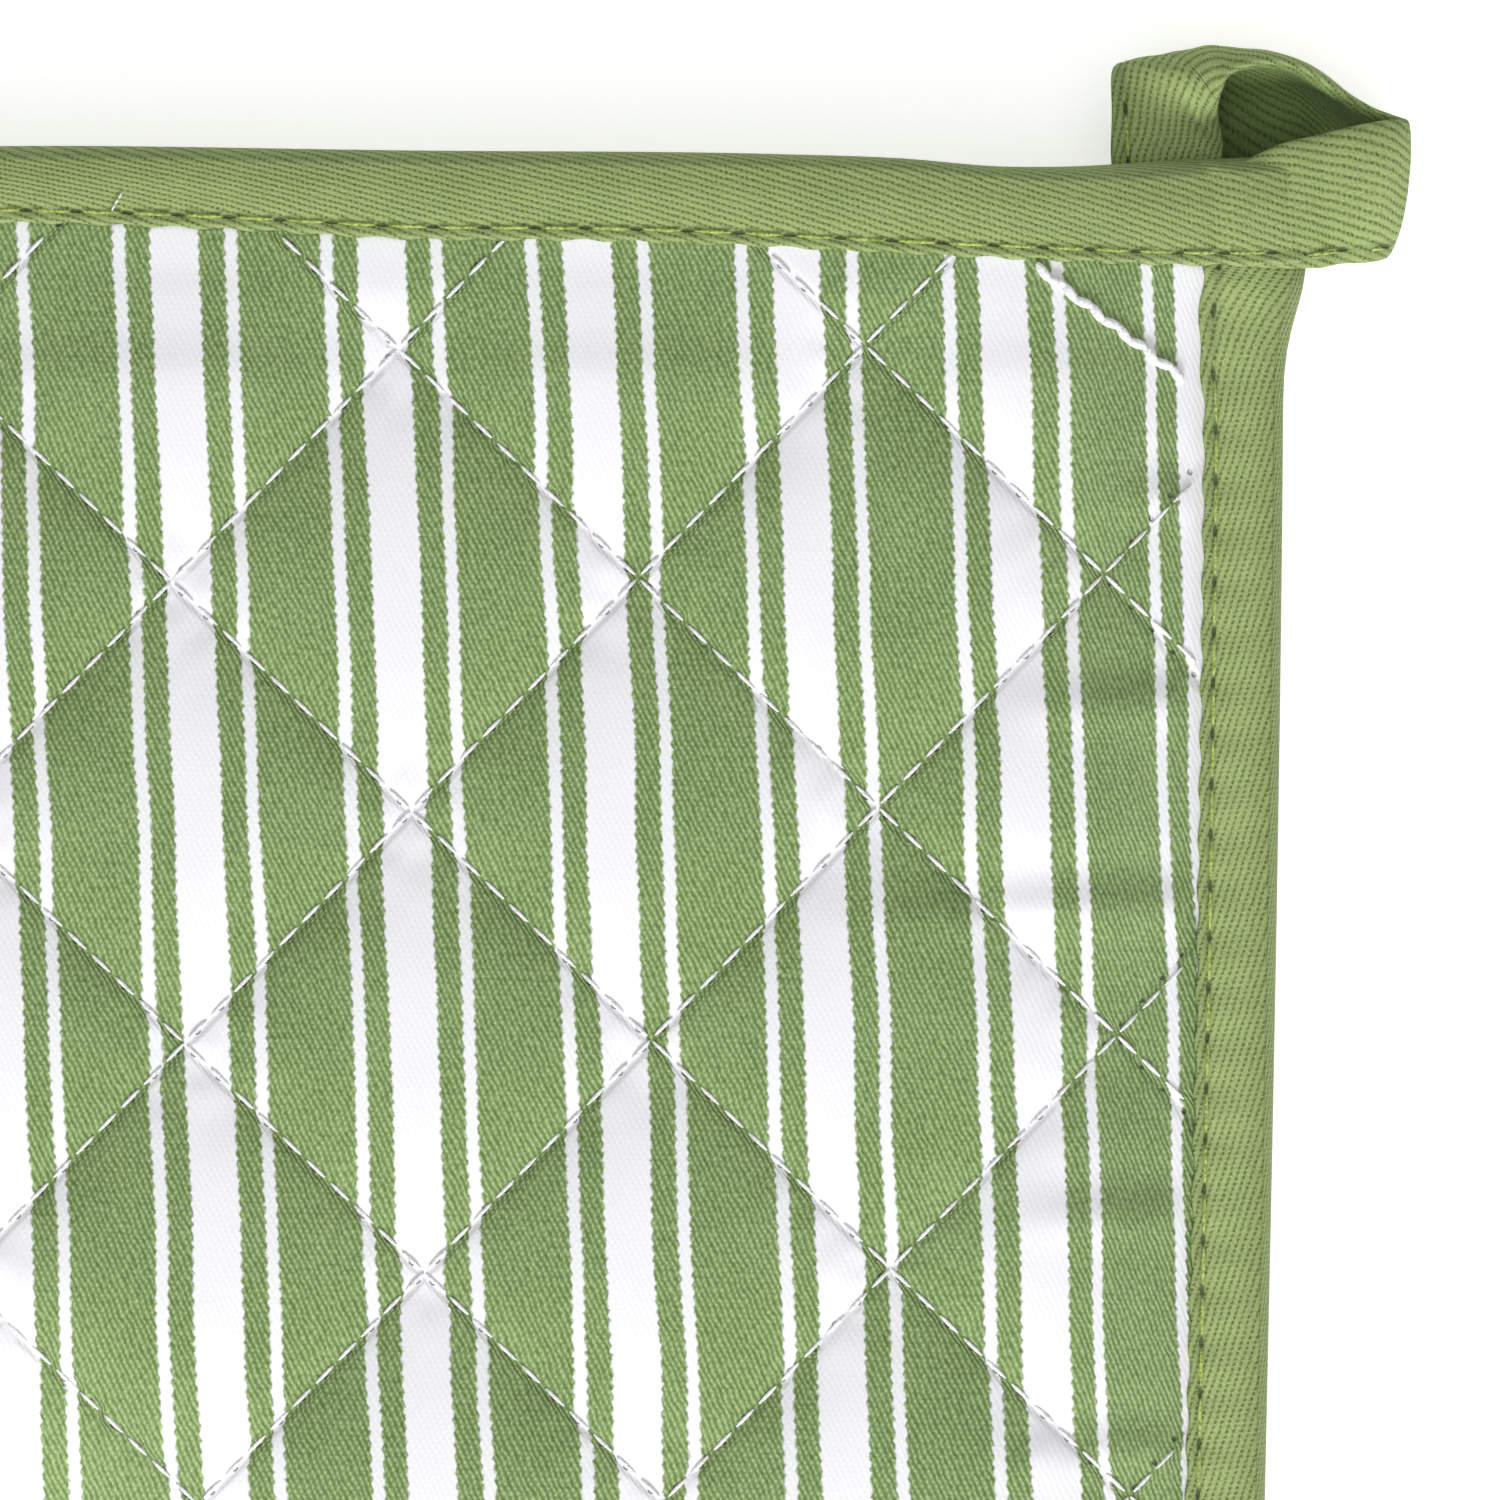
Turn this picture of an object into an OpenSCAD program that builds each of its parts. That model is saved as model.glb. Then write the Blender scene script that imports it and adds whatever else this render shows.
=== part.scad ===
// Quilted oven mitt, lying on its back with the cuff towards +Y and the thumb on the -X side.
// Two quilted walls (shell, batting, lining) are bound together round the side seam, the mouth
// has its own binding, and the tail of that binding is turned back into a hanging loop.
// The fingers and the thumb are cut from the palm on the two lines where the mitt folds.

/* [Overall size] */
// Height of the mouth edge above the origin, along +Y
cuff_y = 155; // [150:1:160]
// Width of the mitt across the mouth
cuff_w = 172; // [168:1:176]
// Length from the mouth edge to the fingertips
mitt_len = 315; // [308:1:322]
// Width of the finger part
finger_w = 130; // [126:1:134]
// Radius of the thumb tip
thumb_r = 25; // [24:0.5:26]
// Straight length of the inner edge of the thumb
thumb_edge = 28; // [24:1:32]

/* [Thickness] */
// Height of the front face above the table
front_h = 28; // [26:0.5:30]
// Height of the side seam above the table
seam_z = 6; // [5.8:0.1:6.4]
// Thickness of one quilted wall in the open field
wall_t = 4.4; // [4:0.1:4.8]
// Thickness of one quilted wall squeezed in the seam
wall_edge_t = 2.4; // [2.2:0.1:2.6]
// Thickness of the printed shell and of the lining
cloth_t = 0.6; // [0.5:0.05:0.7]
// Width of the band over which the walls rise from the seam
rise_w = 40; // [36:1:44]

/* [Binding] */
// Visible width of the binding
bind_w = 9; // [8.5:0.25:10]
// Thickness of the folded binding
bind_t = 0.8; // [0.6:0.05:0.8]

/* [Quilting] */
// Diamond width across the mitt
diamond_w = 50.8; // [44:0.2:58]
// Diamond height along the mitt
diamond_h = 49.8; // [44:0.2:58]
// Lean of the cloth grain from the mitt's own axis, in degrees
grain_lean = 2; // [0:0.1:4]
// Diameter of the sewing threads
thread_d = 0.5; // [0.4:0.05:0.6]

/* [Folds] */
// Distance from the mouth edge to the fold across the knuckles
knuckle_y = 200; // [196:1:206]

/* [Hidden] */

gap = 0.02;             // air between two plies of one wall
fold_gap = 0.25;        // half the cut between two bodies
wall_in = 1.0;          // the walls start this far inside the binding's outer edge
half_w = cuff_w / 2;
neck_x = half_w - 2;    // half width just below the cuff binding
straight = 11;          // length of plain straight side under the cuff binding

green_print = [0.42, 0.55, 0.30];
green_bind = [0.45, 0.53, 0.30];
white_cotton = [0.93, 0.93, 0.92];
green_thread = [0.55, 0.66, 0.20];

// ---- Outline of the side seam, clockwise from the mouth's +X corner, y measured from the mouth ----
function bezier(a, b, c, d, t) =
    pow(1 - t, 3) * a + 3 * t * pow(1 - t, 2) * b + 3 * t * t * (1 - t) * c + pow(t, 3) * d;
function curve(a, b, c, d, n) = [for (i = [1:n]) bezier(a, b, c, d, i / n)];
function arc(c, r, from, to, n) =
    [for (i = [1:n]) let (a = from + (to - from) * i / n) c + r * [cos(a), sin(a)]];
function signed_pow(v, p) = sign(v) * pow(abs(v), p);

finger_x = neck_x - 4 - finger_w / 2;       // centre line of the finger part
finger_top = -225;                          // where the fingertip dome begins
dome_h = mitt_len + finger_top;
finger_right = [finger_x + finger_w / 2, finger_top];
finger_left = [finger_x - finger_w / 2, finger_top];
dome_power = 2 / 2.25;
crotch_r = 5;
crotch_c = [finger_left[0] - crotch_r, -165];
thumb_dir = [-0.5, -0.866];                 // along the thumb, 30 degrees out from the hand
thumb_across = [-0.866, 0.5];
inner_end = crotch_c + crotch_r * thumb_across + thumb_edge * thumb_dir;
tip_c = inner_end + thumb_r * thumb_across;
tip_end_angle = -191.5;
outer_start = tip_c + thumb_r * [cos(tip_end_angle), sin(tip_end_angle)];

right_side = concat(
    [[half_w, 0], [half_w, -straight]],
    curve([half_w, -straight], [half_w - 0.4, -17], [neck_x, -19], [neck_x, -27], 4),
    curve([neck_x, -27], [neck_x - 0.4, -90], [neck_x - 2.5, -160], finger_right, 9));
dome = [for (i = [1:18]) let (a = i * 10)
    [finger_x + finger_w / 2 * signed_pow(cos(a), dome_power),
        finger_top - dome_h * pow(sin(a), dome_power)]];
crotch = concat(
    [[finger_left[0], -200], [finger_left[0], crotch_c[1]]],
    arc(crotch_c, crotch_r, 0, 90, 3));
thumb_inner = concat(
    arc(crotch_c, crotch_r, 90, 150, 2),
    [inner_end],
    arc(tip_c, thumb_r, -30, -120, 6));
outer_curve = curve(outer_start, outer_start + 35 * [0.2, 0.98], [-half_w, -85], [-half_w, -straight], 12);
fold_at = 4;                                // the thumb folds at this point of the outer curve
thumb_outer = concat(
    arc(tip_c, thumb_r, -120, tip_end_angle, 5),
    [for (i = [0:fold_at]) outer_curve[i]]);
left_side = concat([for (i = [fold_at + 1:11]) outer_curve[i]], [[-half_w, 0]]);
outline = concat(right_side, dome, crotch, thumb_inner, thumb_outer, left_side);
n_right = len(right_side);
n_dome = n_right + len(dome);
n_crotch = n_dome + len(crotch);
n_tip = n_crotch + len(thumb_inner);
n_outer = n_tip + len(thumb_outer);
n_all = len(outline);

// ---- The thumb's fold line, from the crotch to the outer edge ----
fold_a = crotch_c + [0, crotch_r];
fold_b = outline[n_outer - 1];
fold_e = (fold_b - fold_a) / norm(fold_b - fold_a);
fold_n = [-fold_e[1], fold_e[0]];
function to_fold(p) = [(p - fold_a) * fold_e, (p - fold_a) * fold_n];
function from_fold(q) = fold_a + q[0] * fold_e + q[1] * fold_n;

// ---- Heights ----
function seg_dist(p, a, b) =
    let (ab = b - a, t = max(0, min(1, (p - a) * ab / (ab * ab)))) norm(p - a - t * ab);
function edge_dist(p) = min([for (i = [0:n_all - 2]) seg_dist(p, outline[i], outline[i + 1])]);
function rise(d) = sin(90 * min(1, max(0, d) / rise_w));
function field_h(y) = front_h - 4 * max(0, min(1, (-y - 150) / 150));
function wall(d) = wall_edge_t + (wall_t - wall_edge_t) * rise(d);
function cuff_lift(y) = 1.2 * max(0, min(1, (y + 25) / 15.5));
function front_z(d, y) = seam_z + wall_edge_t + (field_h(y) - seam_z - wall_edge_t) * rise(d);
function back_z(d, y) = (seam_z - wall_edge_t) * (1 - rise(d)) + cuff_lift(y) * rise(d);

// Depth of the two faces of each ply below the outside of its wall
function shell_faces(d) = [0, cloth_t];
function batting_faces(d) = [cloth_t + gap, wall(d) - cloth_t - gap];
function lining_faces(d) = [wall(d) - cloth_t, wall(d) - gap];

// ---- Outline moved inwards, and its two sides as functions of y ----
function tangent(i) =
    let (a = outline[max(0, i - 1)], b = outline[min(n_all - 1, i + 1)]) (b - a) / norm(b - a);
function inward(i) = let (t = tangent(i)) [t[1], -t[0]];
inset = [for (i = [0:n_all - 1]) outline[i] + wall_in * inward(i)];
right_table = [for (i = [0:n_right + 8]) [inset[i][1], inset[i][0]]];
left_finger_table = [for (i = [n_right + 8:n_crotch - 1]) [inset[i][1], inset[i][0]]];
left_outer_table = [for (i = [n_tip:n_all - 1]) [inset[i][1], inset[i][0]]];
fold_table = [[fold_a[1], fold_a[0]], [fold_b[1], fold_b[0]]];
function palm_right(y) = lookup(y, right_table);
function palm_left(y) =
    y > fold_b[1] ? lookup(y, left_outer_table)
    : y > fold_a[1] - wall_in ? max(lookup(y, fold_table), lookup(y, left_outer_table)) + fold_gap / fold_e[1]
    : lookup(y, left_finger_table);
in_chain = [for (i = [n_dome + len(crotch) - 1:n_tip - 1]) to_fold(inset[i])];
out_chain = [for (i = [n_tip - 1:n_outer - 1]) to_fold(inset[i])];
thumb_in_table = [for (q = in_chain) [q[1], q[0]]];
thumb_out_table = [for (q = out_chain) [q[1], q[0]]];

// ---- Grids of [x, y, distance to the seam] over each part of the hand ----
function spread(i, n) = (1 - cos(180 * i / n)) / 2;
function row(x0, x1, y, n) =
    [for (j = [0:n]) let (x = x0 + (x1 - x0) * spread(j, n)) [x, y, edge_dist([x, y])]];
palm_rows = concat([-0.3, -5, -9.5, -16, -25, -45, -65, -80, -92],
    [for (y = [-104:-12:-152]) y], [-158, -161, -166, -175, -186, -knuckle_y + fold_gap]);
palm_grid = [for (y = palm_rows) row(palm_left(y), palm_right(y), y, 13)];
finger_rows = [for (i = [0:9])
    -knuckle_y - fold_gap - (mitt_len - knuckle_y - fold_gap - wall_in - 0.5) * sin(9 * i + i)];
finger_grid = [for (y = finger_rows)
    row(lookup(y, left_finger_table), lookup(y, right_table), y, 12)];
thumb_reach = max([for (q = in_chain) q[1]]) - 0.4;
thumb_grid = [for (i = [0:8]) let (s = fold_gap + (thumb_reach - fold_gap) * sin(i * 90 / 8),
        a0 = lookup(s, thumb_out_table), a1 = lookup(s, thumb_in_table))
    [for (j = [0:9]) let (p = from_fold([a0 + (a1 - a0) * spread(j, 9), s])) [p[0], p[1], edge_dist(p)]]];

// ---- A closed slab between two grids of points, upper and lower ----
module slab(upper, lower) {
    nr = len(upper);
    nc = len(upper[0]);
    pts = [for (g = [upper, lower]) for (r = g) for (p = r) p];
    er = nr - 1;
    ec = nc - 1;
    function up(i, j) = i * nc + j;
    function low(i, j) = (nr + i) * nc + j;
    quads = concat(
        [for (i = [1:er]) for (j = [1:ec]) [up(i - 1, j - 1), up(i - 1, j), up(i, j), up(i, j - 1)]],
        [for (i = [1:er]) for (j = [1:ec]) [low(i - 1, j - 1), low(i, j - 1), low(i, j), low(i - 1, j)]],
        [for (j = [1:ec]) [up(0, j), up(0, j - 1), low(0, j - 1), low(0, j)]],
        [for (j = [1:ec]) [up(er, j - 1), up(er, j), low(er, j), low(er, j - 1)]],
        [for (i = [1:er]) [up(i - 1, 0), up(i, 0), low(i, 0), low(i - 1, 0)]],
        [for (i = [1:er]) [up(i, ec), up(i - 1, ec), low(i - 1, ec), low(i, ec)]]);
    translate([0, cuff_y, 0])
        polyhedron(points = pts, faces = [for (q = quads) each [[q[0], q[1], q[2]], [q[0], q[2], q[3]]]]);
}

// One ply of the front or of the back wall; ply is "shell", "batting" or "lining"
function ply_faces(ply, d) =
    ply == "shell" ? shell_faces(d) : ply == "batting" ? batting_faces(d) : lining_faces(d);
module front_ply(grid, ply)
    slab([for (r = grid) [for (g = r) [g[0], g[1], front_z(g[2], g[1]) - ply_faces(ply, g[2])[0]]]],
        [for (r = grid) [for (g = r) [g[0], g[1], front_z(g[2], g[1]) - ply_faces(ply, g[2])[1]]]]);
module back_ply(grid, ply)
    slab([for (r = grid) [for (g = r) [g[0], g[1], back_z(g[2], g[1]) + ply_faces(ply, g[2])[1]]]],
        [for (r = grid) [for (g = r) [g[0], g[1], back_z(g[2], g[1]) + ply_faces(ply, g[2])[0]]]]);

module front_shell_palm() color(green_print) front_ply(palm_grid, "shell");
module front_batting_palm() color(white_cotton) front_ply(palm_grid, "batting");
module front_lining_palm() color(white_cotton) front_ply(palm_grid, "lining");
module back_shell_palm() color(green_print) back_ply(palm_grid, "shell");
module back_batting_palm() color(white_cotton) back_ply(palm_grid, "batting");
module back_lining_palm() color(white_cotton) back_ply(palm_grid, "lining");
module front_shell_fingers() color(green_print) front_ply(finger_grid, "shell");
module front_batting_fingers() color(white_cotton) front_ply(finger_grid, "batting");
module front_lining_fingers() color(white_cotton) front_ply(finger_grid, "lining");
module back_shell_fingers() color(green_print) back_ply(finger_grid, "shell");
module back_batting_fingers() color(white_cotton) back_ply(finger_grid, "batting");
module back_lining_fingers() color(white_cotton) back_ply(finger_grid, "lining");
module front_shell_thumb() color(green_print) front_ply(thumb_grid, "shell");
module front_batting_thumb() color(white_cotton) front_ply(thumb_grid, "batting");
module front_lining_thumb() color(white_cotton) front_ply(thumb_grid, "lining");
module back_shell_thumb() color(green_print) back_ply(thumb_grid, "shell");
module back_batting_thumb() color(white_cotton) back_ply(thumb_grid, "batting");
module back_lining_thumb() color(white_cotton) back_ply(thumb_grid, "lining");

// ---- A tube or strip swept through a list of closed rings of points ----
module sweep(rings) {
    n = len(rings);
    m = len(rings[0]);
    pts = [for (r = rings) for (p = r) p];
    sides = [for (i = [0:n - 2]) for (j = [0:m - 1]) let (k = (j + 1) % m)
        each [[i * m + j, i * m + k, (i + 1) * m + k], [i * m + j, (i + 1) * m + k, (i + 1) * m + j]]];
    translate([0, cuff_y, 0])
        polyhedron(points = pts, faces = concat(sides,
            [[for (j = [m - 1:-1:0]) j]], [[for (j = [0:m - 1]) (n - 1) * m + j]]));
}

// ---- Side binding: a tape folded over the seam, as [distance in, height] round the fold ----
function bind_section(y) = let (o = gap + bind_t, w = bind_w, f = wall_in - 0.05) [
    [0, seam_z + 1.9], [0.9, front_z(0.9, y) + o], [w / 2, front_z(w / 2, y) + o], [w, front_z(w, y) + o],
    [w, front_z(w, y) + gap], [w / 2, front_z(w / 2, y) + gap], [f, front_z(f, y) + gap],
    [f, back_z(f, y) - gap], [w / 2, back_z(w / 2, y) - gap], [w, back_z(w, y) - gap],
    [w, back_z(w, y) - o], [w / 2, back_z(w / 2, y) - o], [0.9, back_z(0.9, y) - o], [0, seam_z - 1.9]];
function bind_ring(p, dir) =
    [for (q = bind_section(p[1])) [p[0] + q[0] * dir[0], p[1] + q[0] * dir[1], q[1]]];
// At a fold the section follows the fold line, so that the tape's end lies in the plane of the cut
function bind_run(i0, i1) = [for (i = [i0:i1]) bind_ring(outline[i], inward(i))];
knuckle_right = [lookup(-knuckle_y, [for (p = right_side) [p[1], p[0]]]), -knuckle_y];
knuckle_left = [finger_left[0], -knuckle_y];
below_right = [for (i = [0:n_right - 1]) if (outline[i][1] > -knuckle_y + 4) i];
last_palm = max(below_right);
first_finger = last_palm + (outline[last_palm + 1][1] < -knuckle_y - 4 ? 1 : 2);
fold_slant = 1.35;      // the fold line meets the outer edge at a slant
at_fold_a = n_dome + len(crotch) - 1;
at_fold_b = n_outer - 1;
step = [0, fold_gap];
function shifted(p, v) = [p[0] + v[0], p[1] + v[1]];
crotch_lay = [cos(135), sin(135)];      // the tape's lie just past the fold, on the thumb's side
palm_off = -fold_gap * fold_n;
thumb_off = fold_gap * fold_n;

module side_binding_palm() color(green_bind) {
    sweep(concat(
        bind_run(0, last_palm),
        [bind_ring(shifted(knuckle_right, step), [-1, 0])]));
    sweep(concat(
        [bind_ring(shifted(knuckle_left, step), [1, 0])],
        bind_run(n_dome + 1, at_fold_a - 1),
        [bind_ring(shifted(fold_a, palm_off), fold_e)]));
    sweep(concat(
        [bind_ring(shifted(fold_b, palm_off), -fold_e * fold_slant)],
        bind_run(at_fold_b + 1, n_all - 1)));
}
module side_binding_fingers() color(green_bind)
    sweep(concat(
        [bind_ring(shifted(knuckle_right, -step), [-1, 0])],
        bind_run(first_finger, n_dome - 1),
        [bind_ring(shifted(knuckle_left, -step), [1, 0])]));
module side_binding_thumb() color(green_bind)
    sweep(concat(
        [bind_ring(shifted(fold_a, thumb_off), fold_e), bind_ring(outline[at_fold_a + 1], crotch_lay)],
        bind_run(at_fold_a + 2, at_fold_b - 1),
        [bind_ring(shifted(fold_b, thumb_off), -fold_e * fold_slant)]));

// ---- Cuff binding: a ring folded over the mouth's edge, outside and inside ----
cuff_x = [half_w + 0.03, half_w - 0.9, half_w - 3, half_w - 6, half_w - bind_w + 0.2, half_w - bind_w - 0.4,
    half_w - bind_w - 1.6, half_w - 14, half_w - 19, half_w - 25, half_w - 32, half_w - rise_w];
cuff_all = concat(-cuff_x, [for (i = [len(cuff_x) - 1:-1:0]) cuff_x[i]]);
function over_side(d) = d < bind_w + 0.6 ? bind_t + 2 * gap : d < bind_w + 2 ? bind_t / 2 : 0;
function mouth_top(x) = let (d = half_w - abs(x))
    d < 0.5 ? seam_z + 2.3 : front_z(d, 0) + gap + over_side(d);
function mouth_low(x) = let (d = half_w - abs(x))
    d < 0.5 ? seam_z - 2.3 : back_z(d, 0) - gap - over_side(d);
function mouth_ring(grow) = concat(
    [for (x = cuff_all) [x + sign(x) * (abs(x) > half_w ? grow : 0), mouth_top(x) + grow]],
    [for (i = [len(cuff_all) - 1:-1:0]) let (x = cuff_all[i])
        [x + sign(x) * (abs(x) > half_w ? grow : 0), mouth_low(x) - grow]]);
lining_x = [half_w - 11, half_w - 14, half_w - 19, half_w - 25, half_w - 32, half_w - rise_w];
lining_all = concat(-lining_x, [for (i = [len(lining_x) - 1:-1:0]) lining_x[i]]);
function lining_ring(shrink) = concat(
    [for (x = lining_all) let (d = half_w - abs(x))
        [x - sign(x) * shrink, front_z(d, 0) - wall(d) - gap - shrink]],
    [for (i = [len(lining_all) - 1:-1:0]) let (x = lining_all[i], d = half_w - abs(x))
        [x - sign(x) * shrink, back_z(d, 0) + wall(d) + gap + shrink]]);
module along_y(y0, y1) translate([0, cuff_y + y1, 0]) rotate([90, 0, 0]) linear_extrude(y1 - y0) children();
module cuff_binding() color(green_bind) {
    along_y(-bind_w, 0.05) difference() {
        polygon(mouth_ring(bind_t));
        polygon(mouth_ring(0));
    }
    along_y(-bind_w, 0.05) difference() {
        polygon(lining_ring(0));
        polygon(lining_ring(bind_t));
    }
    along_y(0.05, 0.05 + bind_t) difference() {
        polygon(mouth_ring(bind_t));
        polygon(lining_ring(bind_t));
    }
}

// ---- Hanging loop: folded tape, [folded edge, middle, stitched edge] at each station ----
loop_t = 1.8;
loop_path = [
    [[87.3, 0.6, 12], [87.3, -5.6, 12.2], [87.3, -12, 10.8]],
    [[91, 1.4, 12.4], [90.5, -5.2, 12.6], [89.5, -12, 11]],
    [[94.5, 2.2, 12], [94, -4.8, 12], [92.5, -11.8, 10.5]],
    [[96.6, 2.6, 9.7], [96, -4.5, 8.2], [94.4, -11, 6.8]],
    [[95, 3.4, 7.6], [94.4, -2.5, 4.4], [92.6, -9.5, 3]],
    [[91.2, 4.6, 8.5], [91, 3.6, 4], [89.8, -1, 2]],
    [[85.5, 6.3, 12.5], [85.5, 8.8, 6.2], [86.2, 3.4, 1.7]],
    [[79.6, 7.2, 15], [79, 11, 9], [80, 4.2, 2]],
    [[76.4, 5.8, 15.6], [72.4, 10.9, 12.6], [68.5, 9.2, 6.5]],
    [[76.6, 4, 13.8], [71, 6.6, 15.2], [65.6, 8, 13.6]],
    [[77, 1.7, 10.6], [71, 1.7, 13.4], [65, 1.7, 16]]];
function across(s, t) =
    pow(1 - t, 2) * s[0] + 2 * t * (1 - t) * (2 * s[1] - (s[0] + s[2]) / 2) + t * t * s[2];
loop_n = len(loop_path);
function loop_point(u, t) =
    let (i = min(loop_n - 2, floor(u)), f = u - i,
        p0 = across(loop_path[max(0, i - 1)], t), p1 = across(loop_path[i], t),
        p2 = across(loop_path[i + 1], t), p3 = across(loop_path[min(loop_n - 1, i + 2)], t))
    0.5 * (2 * p1 + (p2 - p0) * f + (2 * p0 - 5 * p1 + 4 * p2 - p3) * f * f
        + (3 * p1 - p0 - 3 * p2 + p3) * f * f * f);
function unit(v) = v / norm(v);
function loop_normal(u, t) = let (e = 0.02)
    unit(cross(loop_point(min(loop_n - 1, u + e), t) - loop_point(max(0, u - e), t),
        loop_point(u, min(1, t + e)) - loop_point(u, max(0, t - e))));
loop_steps = [for (u = [0:0.5:loop_n - 1]) u];
function loop_ring(u) = concat(
    [for (t = [0:0.25:1]) loop_point(u, t) - loop_t / 2 * loop_normal(u, t)],
    [for (t = [1:-0.25:0]) loop_point(u, t) + loop_t / 2 * loop_normal(u, t)]);
module hanging_loop() color(green_bind) sweep([for (u = loop_steps) loop_ring(u)]);

// The loop's tail, sewn flat against the binding inside the mouth
tail_x = [65, 68, 71, 74, 77];
function tail_z(x) = let (d = half_w - x) front_z(d, 0) - wall(d) - bind_t - 2 * gap;
module loop_tail() color(green_bind)
    along_y(-8.5, -2.5) polygon(concat(
        [for (x = tail_x) [x, tail_z(x)]],
        [for (i = [4:-1:0]) [tail_x[i], tail_z(tail_x[i]) - loop_t]]));

// ---- Threads, as thin four-sided rods ----
function rod_ring(p, q) = let (r = thread_d / 2, v = q - p, u = [-v[1], v[0], 0] / norm([v[0], v[1]]) * r)
    [p + u, p + [0, 0, r], p - u, p - [0, 0, r]];
module rod(path) {
    n = len(path);
    sweep([for (i = [0:n - 1]) [for (k = rod_ring([0, 0, 0], path[min(i + 1, n - 1)] - path[max(i - 1, 0)]))
        path[i] + k]]);
}

// Quilting lines run both ways through the corners of the diamonds
quilt_corner = [38.5, -21];
function from_grain(q) = quilt_corner + [q[0] * cos(grain_lean) - q[1] * sin(grain_lean),
    q[0] * sin(grain_lean) + q[1] * cos(grain_lean)];
function quilt_line(k, way) =
    [from_grain([k * diamond_w, 0]), from_grain([(k + way) * diamond_w, -diamond_h])];
function line_at(k, way, s) = let (l = quilt_line(k, way)) l[0] + (l[1] - l[0]) * s;
clear_in = bind_w + 0.6;
function in_palm(p) = p[1] < -clear_in && p[1] > -knuckle_y + 0.6
    && p[0] > palm_left(p[1]) + 0.5 && p[0] < palm_right(p[1]) && edge_dist(p) > clear_in;
function in_fingers(p) = p[1] < -knuckle_y - 0.6 && p[1] > -mitt_len + clear_in
    && p[0] > lookup(p[1], left_finger_table) && p[0] < lookup(p[1], right_table) && edge_dist(p) > clear_in;
function in_thumb(p) = let (q = to_fold(p)) q[1] > fold_gap + 0.5 && q[1] < thumb_reach
    && q[0] > lookup(q[1], thumb_in_table) && q[0] < lookup(q[1], thumb_out_table) && edge_dist(p) > clear_in;
function in_part(part, p) = part == "palm" ? in_palm(p) : part == "fingers" ? in_fingers(p) : in_thumb(p);
function quilt_run(part, k, way) =
    let (s = [for (s = [-1:0.05:7]) if (in_part(part, line_at(k, way, s))) s]) len(s) < 3 ? []
        : [for (i = [0:4:len(s) - 1]) s[i]];
module quilting_thread(part, front) {
    for (way = [-1, 1]) for (k = [-9:9]) {
        run = quilt_run(part, k, way);
        if (len(run) > 1)
            rod([for (s = run) let (p = line_at(k, way, s), d = edge_dist(p))
                [p[0], p[1], front ? front_z(d, p[1]) : back_z(d, p[1]) + thread_d / 2 + 0.02]]);
    }
}
module front_quilting_thread_palm() color(white_cotton) quilting_thread("palm", true);
module front_quilting_thread_fingers() color(white_cotton) quilting_thread("fingers", true);
module front_quilting_thread_thumb() color(white_cotton) quilting_thread("thumb", true);
module back_quilting_thread_palm() color(white_cotton) quilting_thread("palm", false);
module back_quilting_thread_fingers() color(white_cotton) quilting_thread("fingers", false);
module back_quilting_thread_thumb() color(white_cotton) quilting_thread("thumb", false);

// Topstitching that holds the side binding, on both faces
stitch_in = bind_w - 1.1;
module topstitch(rail) {
    o = gap + bind_t;
    places = [for (r = rail) shifted(r[0], stitch_in * r[1])];
    rod([for (p = places) [p[0], p[1], front_z(stitch_in, p[1]) + o]]);
    rod([for (p = places) [p[0], p[1], back_z(stitch_in, p[1]) - o]]);
}
function rail_of(i0, i1) = [for (i = [i0:i1]) [outline[i], inward(i)]];
module side_topstitch_palm() color(green_thread) {
    topstitch(concat([[[half_w, -bind_w - 0.5], [-1, 0]]], rail_of(2, last_palm),
        [[shifted(knuckle_right, step), [-1, 0]]]));
    topstitch(concat([[shifted(knuckle_left, step), [1, 0]]], rail_of(n_dome + 1, at_fold_a - 1),
        [[shifted(fold_a, palm_off), fold_e]]));
    topstitch(concat([[shifted(fold_b, palm_off), -fold_e * fold_slant]], rail_of(at_fold_b + 1, n_all - 2),
        [[[-half_w, -bind_w - 0.5], [1, 0]]]));
}
module side_topstitch_fingers() color(green_thread)
    topstitch(concat([[shifted(knuckle_right, -step), [-1, 0]]],
        rail_of(first_finger, n_dome - 1),
        [[shifted(knuckle_left, -step), [1, 0]]]));
module side_topstitch_thumb() color(green_thread)
    topstitch(concat([[shifted(fold_a, thumb_off), fold_e], [outline[at_fold_a + 1], crotch_lay]],
        rail_of(at_fold_a + 2, at_fold_b - 1),
        [[shifted(fold_b, thumb_off), -fold_e * fold_slant]]));

// Topstitching round the cuff binding, front and back
stitch_x = [for (x = cuff_all) if (abs(x) < half_w - 1) x];
module cuff_topstitch() color(green_thread) {
    rod([for (x = stitch_x) [x, 1.1 - bind_w, mouth_top(x) + bind_t]]);
    rod([for (x = stitch_x) [x, 1.1 - bind_w, mouth_low(x) - bind_t]]);
}
module loop_topstitch() color(green_thread)
    rod([for (u = loop_steps) loop_point(u, 0.84) - (loop_t / 2) * loop_normal(u, 0.84)]);
// Tack that holds the loop's tail to the binding
module loop_tack_stitch() color(green_thread)
    for (y = [-3.2, -7.2])
        rod([for (x = [66, 68, 71, 74, 76]) [x, y, tail_z(x) - loop_t]]);

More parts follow.
